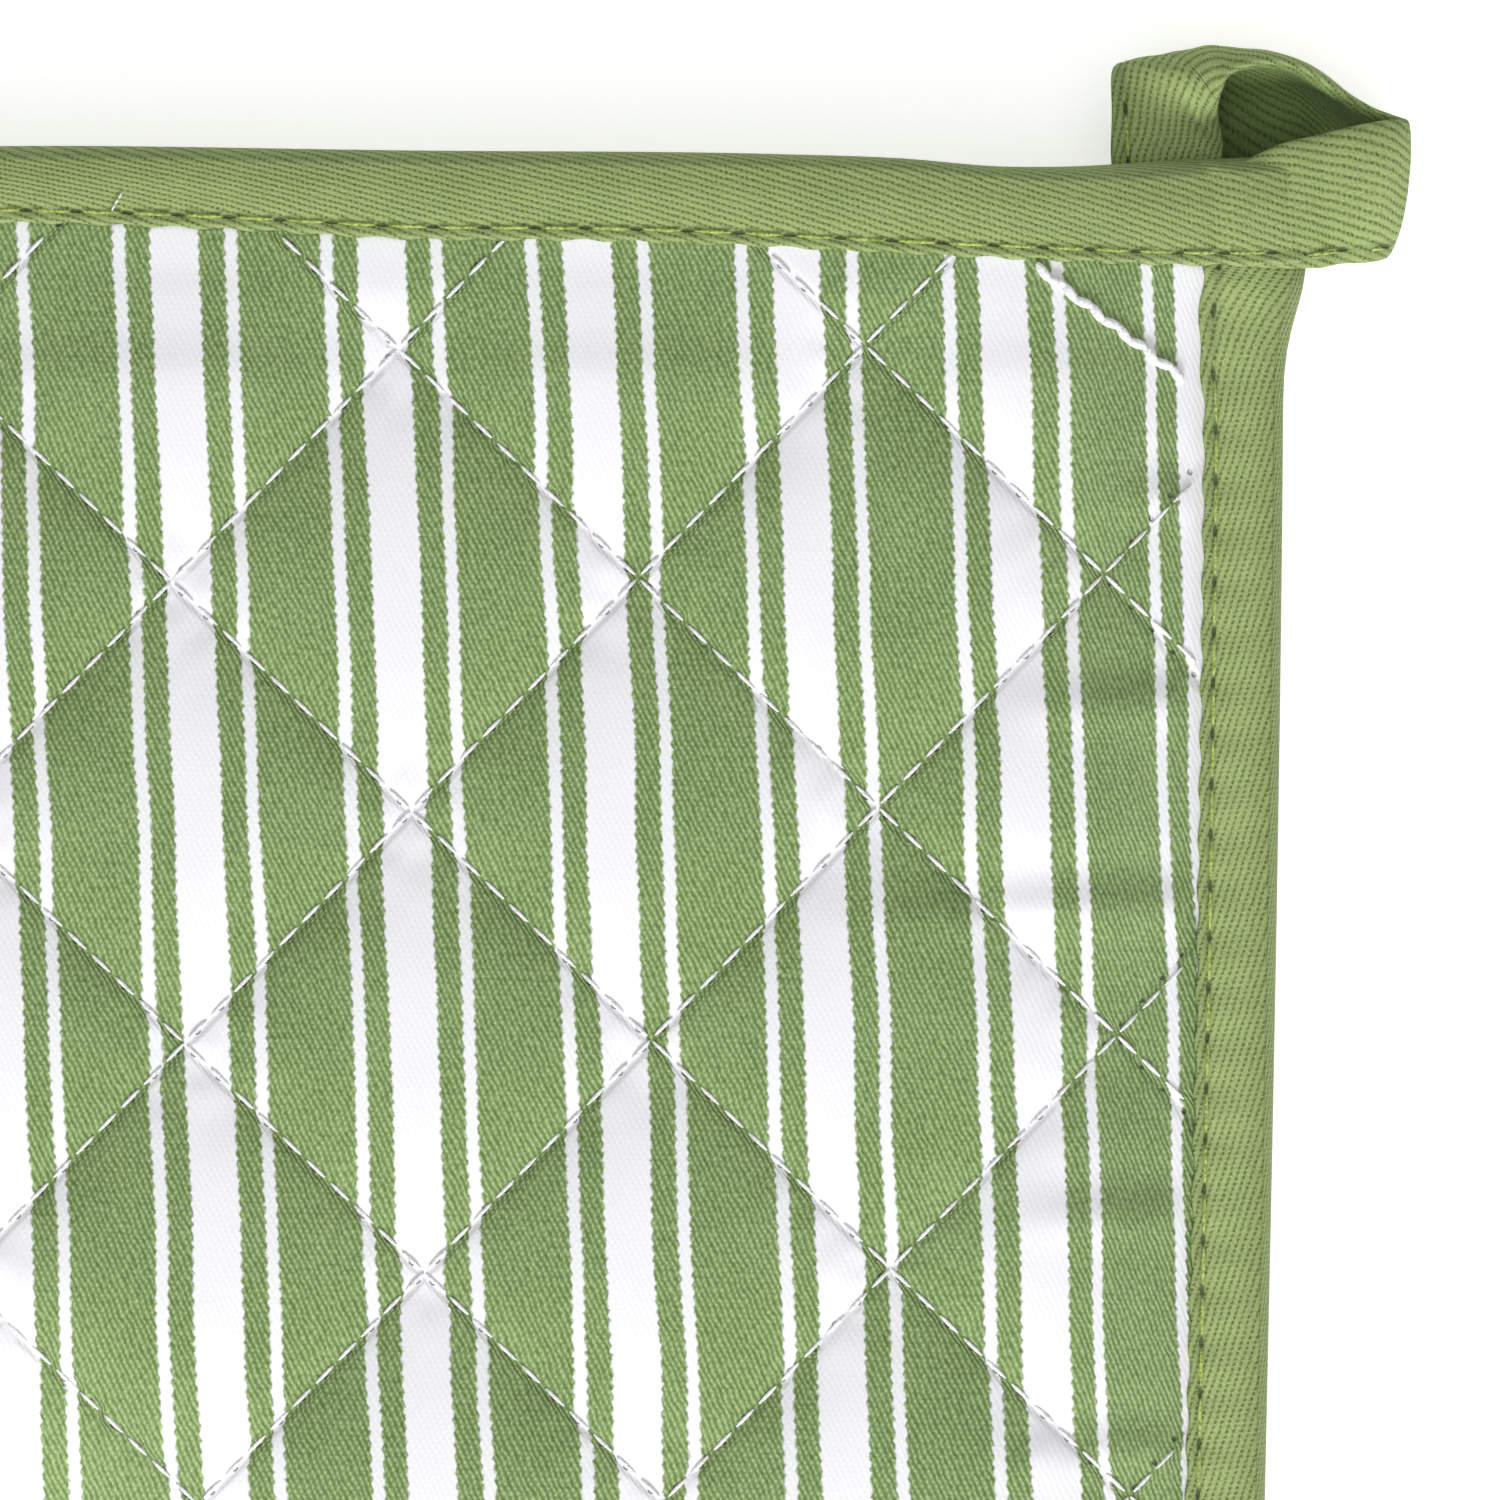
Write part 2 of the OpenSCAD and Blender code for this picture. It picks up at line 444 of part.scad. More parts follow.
front_shell_palm();
front_batting_palm();
front_lining_palm();
back_shell_palm();
back_batting_palm();
back_lining_palm();
front_shell_fingers();
front_batting_fingers();
front_lining_fingers();
back_shell_fingers();
back_batting_fingers();
back_lining_fingers();
front_shell_thumb();
front_batting_thumb();
front_lining_thumb();
back_shell_thumb();
back_batting_thumb();
back_lining_thumb();
side_binding_palm();
side_binding_fingers();
side_binding_thumb();
cuff_binding();
hanging_loop();
loop_tail();
front_quilting_thread_palm();
front_quilting_thread_fingers();
front_quilting_thread_thumb();
back_quilting_thread_palm();
back_quilting_thread_fingers();
back_quilting_thread_thumb();
side_topstitch_palm();
side_topstitch_fingers();
side_topstitch_thumb();
cuff_topstitch();
loop_topstitch();
loop_tack_stitch();
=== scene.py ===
# A quilted oven mitt lying on its back: two padded cotton walls bound together round the side,
# a bound mouth, and a hanging loop turned from the end of the mouth's binding.
# Lengths are in millimetres and y is counted from the mouth, until a mesh is made in metres.
import math

import bmesh
import bpy
import numpy as np
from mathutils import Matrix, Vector


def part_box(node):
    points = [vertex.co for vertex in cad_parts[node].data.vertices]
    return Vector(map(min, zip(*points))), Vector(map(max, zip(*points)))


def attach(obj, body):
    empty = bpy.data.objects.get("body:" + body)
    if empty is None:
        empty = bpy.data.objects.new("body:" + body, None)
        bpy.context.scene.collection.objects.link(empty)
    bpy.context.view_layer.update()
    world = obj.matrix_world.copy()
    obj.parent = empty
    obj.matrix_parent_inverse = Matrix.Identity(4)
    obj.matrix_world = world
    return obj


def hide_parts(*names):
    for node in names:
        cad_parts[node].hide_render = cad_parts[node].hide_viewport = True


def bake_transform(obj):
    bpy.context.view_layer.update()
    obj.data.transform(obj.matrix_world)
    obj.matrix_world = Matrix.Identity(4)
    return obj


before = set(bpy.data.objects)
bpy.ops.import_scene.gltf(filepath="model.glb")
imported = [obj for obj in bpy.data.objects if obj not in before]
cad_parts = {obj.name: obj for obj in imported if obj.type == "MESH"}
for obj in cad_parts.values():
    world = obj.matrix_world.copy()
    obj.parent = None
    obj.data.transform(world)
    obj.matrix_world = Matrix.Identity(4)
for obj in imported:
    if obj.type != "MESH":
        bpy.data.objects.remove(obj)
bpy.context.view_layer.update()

# ---------------------------------------------------------------- Printed cotton shells
# The outside of each wall is twill-woven cotton, printed with groups of white stripes on sage green
# and cut a little off the mitt's own axis. Both walls are cut to one outline, trimmed inside the
# binding, and quilted in two-inch diamonds, so the cloth stands up as a pillow between the lines.
MM = 0.001
mouth_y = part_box("cuff_binding")[1].y / MM - 0.85
front_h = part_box("front_shell_palm")[1].z / MM
half_w = 86.0
mitt_len = 315.0
finger_w = 130.0
seam_z = 6.0
seam_ply = 2.4
wall_ply = 4.4
rise_w = 40.0
thumb_start = 28.0
tip_turn = 191.5
fingers_drop = 4.0
mouth_lift = 1.2
tape_w = 8.7


def bezier(a, b, c, d, n):
    a, b, c, d = (np.array(p, float) for p in (a, b, c, d))
    return [(1 - t) ** 3 * a + 3 * t * (1 - t) ** 2 * b + 3 * t * t * (1 - t) * c + t ** 3 * d
            for t in np.linspace(0, 1, n + 1)[1:]]


def arc(centre, r, start, end, n):
    angles = np.radians(np.linspace(start, end, n + 1)[1:])
    return [np.array([centre[0] + r * math.cos(a), centre[1] + r * math.sin(a)]) for a in angles]


neck_x = half_w - 2.4
finger_x = neck_x - 3.6 - finger_w / 2
finger_top = -225.0
dome_h = mitt_len + finger_top
right_edge = finger_x + finger_w / 2
left_edge = finger_x - finger_w / 2
crotch_r = 5.0
crotch = np.array([left_edge - crotch_r, -165.0])
thumb_along, thumb_across = np.array([-0.5, -0.866]), np.array([-0.866, 0.5])
thumb_r = 25.0
inner_end = crotch + crotch_r * thumb_across + thumb_start * thumb_along
tip = inner_end + thumb_r * thumb_across
outer_start = tip + thumb_r * np.array([math.cos(math.radians(tip_turn)), -math.sin(math.radians(tip_turn))])

right_side = [np.array([half_w, 0.0]), np.array([half_w, -11.0])]
right_side += bezier((half_w, -11), (half_w + 0.4, -16), (neck_x, -18), (neck_x, -27), 8)
right_side += bezier((neck_x, -27), (neck_x - 0.4, -90), (neck_x - 2.5, -160), (right_edge, finger_top), 24)
turns = np.radians(np.linspace(0, 180, 49)[1:])
dome = [np.array([finger_x + finger_w / 2 * np.sign(math.cos(a)) * abs(math.cos(a)) ** (2 / 2.25),
                  finger_top - dome_h * math.sin(a) ** (2 / 2.25)]) for a in turns]
hand_side = right_side + dome + [np.array([left_edge, crotch[1]])] + arc(crotch, crotch_r, 0, 90, 8)
thumb_side = hand_side[-1:] + arc(crotch, crotch_r, 90, 150, 6) + [inner_end]
thumb_side += arc(tip, thumb_r, -30, -tip_turn, 30)
outer = bezier(outer_start, outer_start + (7, 34.3), (-half_w, -85), (-half_w, -11), 24)
thumb_side += outer[:9]
heel_side = outer[8:] + [np.array([-half_w, 0.0])]
fold_a, fold_b = hand_side[-1], outer[8]
fold_run = (fold_b - fold_a) / np.linalg.norm(fold_b - fold_a)
fold_out = np.array([-fold_run[1], fold_run[0]])
seam = np.array(hand_side + thumb_side[1:] + heel_side[1:])


def smooth(lo, hi, x):
    t = np.clip((x - lo) / (hi - lo), 0, 1)
    return t * t * (3 - 2 * t)


def nearest_seam(x, y):
    """Distance to the seam, the nearest point on it and the direction inwards from there."""
    p = np.stack([x, y], -1)[:, None]
    a, ab = seam[:-1], np.diff(seam, axis=0)
    t = np.clip(((p - a) * ab).sum(-1) / (ab * ab).sum(-1), 0, 1)
    foot = a + t[..., None] * ab
    gap = np.linalg.norm(p - foot, axis=-1)
    best = gap.argmin(1)
    pick = np.arange(len(x))
    run = ab[best] / np.linalg.norm(ab[best], axis=1)[:, None]
    inwards = np.stack([run[:, 1], -run[:, 0]], -1)
    side = ((p[:, 0] - foot[pick, best]) * inwards).sum(-1)
    return gap[pick, best] * np.where(side < 0, -1, 1), foot[pick, best], inwards


def seam_gap(x, y):
    flat_x, flat_y = np.broadcast_arrays(np.asarray(x, float), np.asarray(y, float))
    parts = [nearest_seam(a, b)[0] for a, b in
             zip(np.array_split(flat_x.ravel(), 1 + flat_x.size // 20000),
                 np.array_split(flat_y.ravel(), 1 + flat_x.size // 20000))]
    return np.concatenate(parts).reshape(flat_x.shape)


def rise(d):
    return np.sin(np.pi / 2 * np.clip(d / rise_w, 0, 1))


def wall(d):
    return seam_ply + (wall_ply - seam_ply) * rise(d)


def front_face(d, y):
    full = front_h - fingers_drop * np.clip((-y - 150) / 150, 0, 1)
    return seam_z + seam_ply + (full - seam_z - seam_ply) * rise(d)


def back_face(d, y):
    return (seam_z - seam_ply) * (1 - rise(d)) + mouth_lift * np.clip((y + 25) / 15.5, 0, 1) * rise(d)


diamond_w, diamond_h = np.array([50.4, 0.4]), np.array([-1.4, 49.9])
lattice_at = np.array([38.1, -21.0])
side_a = (diamond_h + diamond_w) / 2
side_b = (diamond_h - diamond_w) / 2
to_xy = np.stack([side_a, side_b], 1)
to_lattice = np.linalg.inv(to_xy)
line_gap = abs(np.linalg.det(to_xy)) / np.linalg.norm(side_a)
pillow_h, line_sink = 2.3, 1.1
cloth_t = 0.4


def lattice(x, y):
    """Place in diamonds: whole numbers are quilting lines."""
    dx, dy = x - lattice_at[0], y - lattice_at[1]
    return (to_lattice[0, 0] * dx + to_lattice[0, 1] * dy,
            to_lattice[1, 0] * dx + to_lattice[1, 1] * dy)


def pillow(x, y):
    """How far the cloth stands up between the lines, from 0 on a line to 1 in mid diamond."""
    a, b = lattice(x, y)
    near_a = np.abs(a - np.round(a)) * line_gap
    near_b = np.abs(b - np.round(b)) * line_gap
    swell = lambda g: 1 - (1 - np.clip(g / (line_gap / 2), 0, 1)) ** 2.6
    wrinkle = (0.16 * np.exp(-near_a / 3.2) * np.sin(b * 31 + 5 * np.sin(a * 2.3) + 3 * np.sin(b * 7.1))
               + 0.16 * np.exp(-near_b / 3.2) * np.sin(a * 29 + 4 * np.sin(b * 2.9) + 3 * np.sin(a * 6.3)))
    off_line = smooth(0, 1.2, np.minimum(near_a, near_b))
    return (swell(near_a) * swell(near_b)) ** 0.8 + wrinkle * off_line * 0.55


ripple_rows = [(-60.0, 66, 16), (-82.0, 58, 30), (-115.5, 66, 18), (-38.0, 70, 10), (-141.0, 64, 18)]


def ripples(x, y):
    """Soft folds that run in from the straight side, where the binding has drawn the cloth up."""
    total = np.zeros_like(x)
    for row, reach, width in ripple_rows:
        fade_in = smooth(reach - width, reach + 2, x)
        total += 0.75 * np.exp(-((y - row - 0.04 * (x - 70)) / 2.2) ** 2) * fade_in
        total -= 0.5 * np.exp(-((y - row - 4.2) / 2.6) ** 2) * fade_in
    return total


def slack(y, d):
    """Where the padding is free to swell: not under the bindings."""
    return smooth(tape_w - 0.5, 21, d) * smooth(-12, -25, y)


def front_skin(x, y, creased=1.0):
    d = seam_gap(x, y)
    free = slack(y, d)
    sink = line_sink * smooth(tape_w + 1, 17, d) * smooth(-14, -22, y)
    roll = 0.5 * np.sin(x / 23 + y / 61) * np.sin(y / 37 + 1.3) * smooth(15, 45, d)
    folds = creased * ripples(x, y) * smooth(8.8, 12, d)
    return front_face(d, y) - sink + pillow_h * free * pillow(x, y) + folds + roll


def back_skin(x, y):
    d = seam_gap(x, y)
    free = slack(y, d)
    lift = 1.5 * smooth(tape_w + 1, 17, d) * smooth(-14, -22, y)
    return np.maximum(back_face(d, y) + lift - 1.7 * free * np.clip(pillow(x, y), 0, 1) ** 0.7, 0.03)


class Wire:
    """A value in a material's nodes, written with as if it were a number."""

    def __init__(self, tree, socket):
        self.tree, self.socket = tree, socket

    def make(self, kind, settings=None, inputs=None, out=0):
        node = self.tree.nodes.new(kind)
        for key, value in (settings or {}).items():
            setattr(node, key, value)
        for key, value in (inputs or {}).items():
            if isinstance(value, Wire):
                self.tree.links.new(value.socket, node.inputs[key])
            else:
                node.inputs[key].default_value = value
        return Wire(self.tree, node.outputs[out])

    def math(self, operation, *others):
        return self.make("ShaderNodeMath", {"operation": operation}, dict(enumerate((self,) + others)))

    def __add__(self, other): return self.math("ADD", other)
    def __radd__(self, other): return self.math("ADD", other)
    def __sub__(self, other): return self.math("SUBTRACT", other)
    def __mul__(self, other): return self.math("MULTIPLY", other)
    def __truediv__(self, other): return self.math("DIVIDE", other)
    def __rsub__(self, other): return (self * -1.0).math("ADD", other)
    def __pow__(self, other): return self.math("POWER", other)

    def sin(self): return self.math("SINE")
    def abs(self): return self.math("ABSOLUTE")
    def fract(self): return self.math("FRACT")
    def max(self, other): return self.math("MAXIMUM", other)
    def min(self, other): return self.math("MINIMUM", other)

    def fade(self, lo, hi):
        """0 where the value is lo, 1 where it is hi, smooth between."""
        return self.make("ShaderNodeMapRange", {"interpolation_type": "SMOOTHSTEP"},
                         {"Value": self, "From Min": lo, "From Max": hi})

    def noise(self, scale, detail=2.0, rough=0.5):
        return self.make("ShaderNodeTexNoise", {}, {"Vector": self, "Scale": scale, "Detail": detail,
                                                    "Roughness": rough})

    def mix(self, low, high):
        """Colour low where the value is 0 and high where it is 1."""
        return self.make("ShaderNodeMix", {"data_type": "RGBA"}, {"Factor": self, 6: low, 7: high}, 2)

    def tint(self, colour):
        """A colour made lighter or darker by the value."""
        base = colour if isinstance(colour, Wire) else colour[:3]
        return self.make("ShaderNodeVectorMath", {"operation": "SCALE"}, {"Scale": self, 0: base})


def cloth_map(tree):
    """The piece's own cloth coordinates, in millimetres along and across."""
    start = Wire(tree, None).make("ShaderNodeUVMap", {"uv_map": "cloth"})
    scaled = start.make("ShaderNodeVectorMath", {"operation": "SCALE"}, {0: start, "Scale": 1000.0})
    along = start.make("ShaderNodeSeparateXYZ", {}, {0: scaled}, 0)
    across = start.make("ShaderNodeSeparateXYZ", {}, {0: scaled}, 1)
    return scaled, along, across


def finish_cloth(tree, colour, rough, height, depth, sheen):
    """Closes a cloth material: colour, roughness, the weave's relief and a little sheen."""
    bump = colour.make("ShaderNodeBump", {}, {"Strength": 1.0, "Distance": depth * MM, "Height": height})
    shader = tree.nodes["Principled BSDF"]
    tree.links.new(colour.socket, shader.inputs["Base Color"])
    tree.links.new(rough.socket, shader.inputs["Roughness"])
    tree.links.new(bump.socket, shader.inputs["Normal"])
    shader.inputs["Specular IOR Level"].default_value = 0.25
    shader.inputs["Sheen Weight"].default_value = sheen
    shader.inputs["Sheen Roughness"].default_value = 0.5


def new_material(name):
    material = bpy.data.materials.new(name)
    material.use_nodes = True
    return material, material.node_tree


def twill(along, across, angle, pitch, float_pitch, warp):
    """Height of a twill weave from 0 to 1: ribs at an angle to the cloth, broken into floats."""
    c, s = math.cos(angle), math.sin(angle)
    over = (across * c - along * s + warp) * (2 * math.pi / pitch)
    run = (along * c + across * s) * (2 * math.pi / float_pitch)
    ribs = over.sin() * 0.5 + 0.5
    floats = (run + over * 0.5).sin() * 0.5 + 0.5
    return ribs * (floats * 0.45 + 0.55)


stripe_repeat = 22.35
stripe_lean = math.radians(2.4)
stripe_from = 15.8 - 2.5 * stripe_repeat
stripe_level = -86.4
sage_dark = (0.090, 0.155, 0.040, 1)
sage_light = (0.352, 0.468, 0.205, 1)
print_white = (0.80, 0.80, 0.825, 1)


def printed_twill():
    material, tree = new_material("printed_twill")
    flat, x, y = cloth_map(tree)
    c, s = math.cos(stripe_lean), math.sin(stripe_lean)
    across = (x - stripe_from) * c + (y - stripe_level) * s
    down = (y - stripe_level) * c - (x - stripe_from) * s
    wander = flat.noise(0.05, 1.0) * 1.1 - 0.55
    ragged = (down * (2 * math.pi / 1.36) + flat.noise(0.35, 1.0) * 9).sin() * 0.10
    frayed = flat.noise(2.6, 2.0) * 0.36 - 0.18
    place = ((across + wander + ragged + frayed) / stripe_repeat).fract() * stripe_repeat
    inked = 0.16

    def band(lo, hi):
        return place.fade(lo - inked, lo + inked) * place.fade(hi + inked, hi - inked)

    white = (band(0.2, 1.55) * 0.96).max(band(4.15, 9.35)).max(band(12.05, 13.35) * 0.96)
    weave = twill(x, y, math.radians(-66), 0.62, 0.60, flat.noise(0.45, 2.0) * 0.7)
    speckle = flat.noise(1.5, 3.0, 0.65)
    cloudy = flat.noise(0.09, 2.0)
    shade = weave * 0.56 + speckle + cloudy * 0.25 - 0.41
    green = shade.fade(-0.05, 0.95).mix(sage_dark, sage_light)
    chalk = (shade * 0.05 + 0.95).tint(print_white)
    cloth = white.mix(green, chalk)
    la, lb = ((x - lattice_at[0]) * i + (y - lattice_at[1]) * j for i, j in to_lattice)
    gaps, holes = [], []
    for this, other in ((la, lb), (lb, la)):
        off = ((this + 0.5).fract() - 0.5).abs() * line_gap
        step = ((other * (np.linalg.norm(side_a) / stitch_pitch)).fract() - 0.5).abs() * stitch_pitch
        gaps.append(off)
        holes.append((off * off + step * step) ** 0.5)
    nearest = gaps[0].min(gaps[1])
    hole = holes[0].min(holes[1]).fade(0.40, 0.12)
    # Painted shade: the green is darker along each quilting line's groove, where shade falls.
    line_shade = nearest.fade(1.6, 0.0)
    shaded = (1 - hole * (0.55 - white * 0.25) - line_shade * 0.08 * (1 - white)).tint(cloth)
    relief = (weave * 0.8 + speckle * 0.5) * (1 - white * 0.8) - hole * 2.4 + nearest.fade(0.0, 1.3) * 1.4
    rough = 0.97 - weave * 0.12
    finish_cloth(tree, shaded, rough, relief, 0.16, 0.12)
    return material


stitch_pitch = 3.5
shell_cells = 17
wall_top = -2.8


def lattice_net(cells):
    """A square net on the quilting lattice, trimmed to the paper pattern inside the binding."""
    span = 12
    middle = np.array([-4.0, -2.0])
    net = bmesh.new()
    bmesh.ops.create_grid(net, x_segments=span * cells, y_segments=span * cells, size=span / 2)
    places = np.array([v.co[:2] for v in net.verts]) + middle
    places = places @ to_xy.T + lattice_at
    for v, p in zip(net.verts, places):
        v.co = (p[0], p[1], 0)
    whole = lambda: net.verts[:] + net.edges[:] + net.faces[:]
    bmesh.ops.bisect_plane(net, geom=whole(), dist=1e-4, plane_co=(0, wall_top, 0), plane_no=(0, 1, 0),
                           clear_outer=True)
    far = [f for f in net.faces if not (-125 < f.calc_center_median().x < 90
                                        and f.calc_center_median().y > -mitt_len - 5)]
    bmesh.ops.delete(net, geom=far, context="FACES")
    bmesh.ops.bisect_plane(net, geom=whole(), dist=0.3, plane_co=(*fold_a, 0), plane_no=(*fold_out, 0))
    centres = np.array([f.calc_center_median()[:2] for f in net.faces])
    inside = inside_pattern(centres[:, 0], centres[:, 1])
    bmesh.ops.delete(net, geom=[f for f, keep in zip(net.faces[:], inside) if not keep], context="FACES")
    rim = [v for v in net.verts if v.is_boundary and v.co.y < wall_top - 0.1]
    at = np.array([v.co[:2] for v in rim])
    _, foot, inwards = nearest_seam(at[:, 0], at[:, 1])
    for v, p in zip(rim, foot + inwards):
        v.co = (p[0], min(p[1], wall_top), 0)
    return net


def inside_pattern(x, y):
    ring = np.vstack([seam, [[-half_w, 12], [half_w, 12]]])
    a, b = ring, np.roll(ring, -1, axis=0)
    crosses = (a[:, 1] > y[:, None]) != (b[:, 1] > y[:, None])
    at = a[:, 0] + (y[:, None] - a[:, 1]) / (b[:, 1] - a[:, 1] + 1e-12) * (b[:, 0] - a[:, 0])
    within = (crosses & (x[:, None] < at)).sum(1) % 2 == 1
    return within & (seam_gap(x, y) > 1.0)


def is_thumb(face):
    p = np.array(face.calc_center_median()[:2])
    return (p - fold_a) @ fold_out > 0 and p[0] < fold_a[0]


def into_scene(name, data):
    """A new object at the frame's own origin."""
    thing = bpy.data.objects.new(name, data)
    bpy.context.scene.collection.objects.link(thing)
    return thing


def dress(name, mesh, material):
    """The mesh as a smooth-shaded object of one material."""
    mesh.polygons.foreach_set("use_smooth", [True] * len(mesh.polygons))
    mesh.materials.append(material)
    return into_scene(name, mesh)


def to_object(name, net, material):
    """Makes the object from a net in millimetres counted from the mouth."""
    mesh = bpy.data.meshes.new(name)
    net.to_mesh(mesh)
    net.free()
    co = np.zeros(len(mesh.vertices) * 3)
    mesh.vertices.foreach_get("co", co)
    co = (co.reshape(-1, 3) + (0, mouth_y, 0)) * MM
    mesh.vertices.foreach_set("co", co.ravel())
    return dress(name, mesh, material)


def thicken(thing, offset):
    """Gives the cloth its thickness, inwards from its face for -1 and outwards for 1."""
    thick = thing.modifiers.new("cloth", "SOLIDIFY")
    thick.thickness = cloth_t * MM
    thick.offset = offset


def name_uv(net, place):
    """Gives the net its cloth coordinates in metres; place turns an array of corners into them."""
    layer = net.loops.layers.uv.new("cloth")
    corners = [loop for face in net.faces for loop in face.loops]
    spots = place(np.array([loop.vert.co[:] for loop in corners])) * MM
    for loop, spot in zip(corners, spots):
        loop[layer].uv = spot


def draw_in(points):
    """The print shifts a little towards each quilting line, and closes up where the wall falls away."""
    x, y = points[:, 0], points[:, 1]
    x_print = x + 0.16 * np.maximum(x - 62, 0)
    a, b = lattice(x, y)
    off_a, off_b = (a - np.round(a)) * line_gap, (b - np.round(b)) * line_gap
    push_a, push_b = (0.34 * np.sign(o) * np.exp(-np.abs(o) / 4) for o in (off_a, off_b))
    normal_a = np.array([side_b[1], -side_b[0]]) / np.linalg.norm(side_b)
    normal_b = np.array([-side_a[1], side_a[0]]) / np.linalg.norm(side_a)
    return np.stack([x_print, y], 1) + push_a[:, None] * normal_a + push_b[:, None] * normal_b


def flat_size(net):
    """Width, length and cut area of a flat piece of cloth, in metres."""
    co = np.array([v.co[:2] for v in net.verts])
    size = (co.max(0) - co.min(0)) * MM
    return tuple(size), sum(f.calc_area() for f in net.faces) * MM * MM


def cut_part(cells, part):
    """The net of the hand part or of the thumb part alone."""
    net = lattice_net(cells)
    drop = [f for f in net.faces if is_thumb(f) != (part == "thumb")]
    bmesh.ops.delete(net, geom=drop, context="FACES")
    return net


def hinge_hand(thing):
    """Bakes the hand part's placement into its mesh."""
    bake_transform(thing)


def hinge_thumb(thing):
    """Bakes the thumb part's placement into its mesh."""
    start = Vector((*(fold_a + (0, mouth_y)) * MM, 0))
    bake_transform(thing)


def take_over(thing, side, layer, part):
    """The cloth takes the place of its layer's solids, which it hides."""
    if part == "hand":
        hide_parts(f"{side}_{layer}_palm", f"{side}_{layer}_fingers")
        hinge_hand(thing)
    else:
        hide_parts(f"{side}_{layer}_thumb")
        hinge_thumb(thing)


printed = printed_twill()
for side, skin in (("front", front_skin), ("back", back_skin)):
    for part in ("hand", "thumb"):
        net = cut_part(shell_cells, part)
        size, area = flat_size(net)
        bmesh.ops.subdivide_edges(net, edges=net.edges[:], cuts=1, use_grid_fill=True)
        name_uv(net, draw_in)
        spots = np.array([v.co[:2] for v in net.verts])
        for v, z in zip(net.verts, skin(spots[:, 0], spots[:, 1])):
            v.co.z = z
        if side == "back":
            bmesh.ops.reverse_faces(net, faces=net.faces[:])
        shell = to_object(f"{side}_shell_{part}", net, printed)
        thicken(shell, -1)
        take_over(shell, side, "shell", part)

# ---------------------------------------------------------------- Batting
# Polyester wadding lies between the shell and the lining and is squeezed flat along each
# quilting line and in the seam.
def wadding():
    material, tree = new_material("wadding")
    spot = Wire(tree, None).make("ShaderNodeTexCoord", {}, {}, 3)
    hairs = spot.noise(900.0, 4.0, 0.7)
    clumps = spot.noise(120.0, 2.0)
    colour = (hairs * 0.25 + clumps * 0.1 + 0.72).tint((0.95, 0.94, 0.9, 1))
    finish_cloth(tree, colour, 0.9 + hairs * 0.1, hairs + clumps, 0.6, 0.3)
    return material


def lining_level(side, x, y):
    """Height of the lining's outer side, which faces the wadding."""
    d = seam_gap(x, y)
    give = 0.7 * slack(y, d) * np.clip(pillow(x, y), 0, 1)
    if side == "front":
        return front_face(d, y) - wall(d) + 0.5 - give
    return back_face(d, y) + wall(d) - 0.5 + give


batting_cells = 7
wadded = wadding()
for side, out in (("front", 1), ("back", -1)):
    for part in ("hand", "thumb"):
        net = cut_part(batting_cells, part)
        spots = np.array([v.co[:2] for v in net.verts])
        smooth_skin = (lambda x, y: front_skin(x, y, 0.0)) if side == "front" else back_skin
        outer_z = smooth_skin(spots[:, 0], spots[:, 1]) - 1.1 * out
        inner_z = lining_level(side, spots[:, 0], spots[:, 1]) + 0.1 * out
        inner_z = np.where((outer_z - inner_z) * out > 0.3, inner_z, outer_z - 0.3 * out)
        for v, z in zip(net.verts, inner_z):
            v.co.z = z
        flat_verts = net.verts[:]
        raised = bmesh.ops.extrude_face_region(net, geom=net.faces[:], use_keep_orig=True)["geom"]
        raised = [v for v in raised if isinstance(v, bmesh.types.BMVert)]
        plan = {(round(v.co.x, 5), round(v.co.y, 5)): z for v, z in zip(flat_verts, outer_z)}
        for v in raised:
            v.co.z = plan[round(v.co.x, 5), round(v.co.y, 5)]
        bmesh.ops.recalc_face_normals(net, faces=net.faces[:])
        batting = to_object(f"{side}_batting_{part}", net, wadded)
        take_over(batting, side, "batting", part)


# ---------------------------------------------------------------- Lining
# The inside is plain-woven off-white cotton, caught by the same rows of quilting.
def plain_weave():
    material, tree = new_material("plain_weave_lining")
    flat, x, y = cloth_map(tree)
    warp = (x * (2 * math.pi / 0.55)).sin()
    weft = (y * (2 * math.pi / 0.6)).sin()
    weave = warp * weft * 0.5 + 0.5
    slub = flat.noise(0.8, 3.0, 0.6)
    colour = (weave * 0.14 + slub * 0.22 + 0.66).tint((0.9, 0.89, 0.86, 1))
    finish_cloth(tree, colour, 0.95 - weave * 0.1, weave + slub, 0.12, 0.15)
    return material


lining_cells = 12
plain = plain_weave()
for side in ("front", "back"):
    for part in ("hand", "thumb"):
        net = cut_part(lining_cells, part)
        size, area = flat_size(net)
        name_uv(net, lambda points: points[:, :2])
        spots = np.array([v.co[:2] for v in net.verts])
        for v, z in zip(net.verts, lining_level(side, spots[:, 0], spots[:, 1])):
            v.co.z = z
        if side == "front":
            bmesh.ops.reverse_faces(net, faces=net.faces[:])
        lining = to_object(f"{side}_lining_{part}", net, plain)
        thicken(lining, 1)
        take_over(lining, side, "lining", part)


# ---------------------------------------------------------------- Quilting thread
# White cotton-wrapped thread in a long lockstitch. Each stitch lies in the groove of its line and
# dips into a needle hole at both ends.
def spun_thread(name, dark, light):
    material, tree = new_material(name)
    spot = Wire(tree, None).make("ShaderNodeTexCoord", {}, {}, 3)
    fibres = spot.noise(2600.0, 2.0, 0.6)
    finish_cloth(tree, fibres.fade(0.3, 0.7).mix(dark, light), 0.75 + fibres * 0.2, fibres, 0.08, 0.2)
    return material


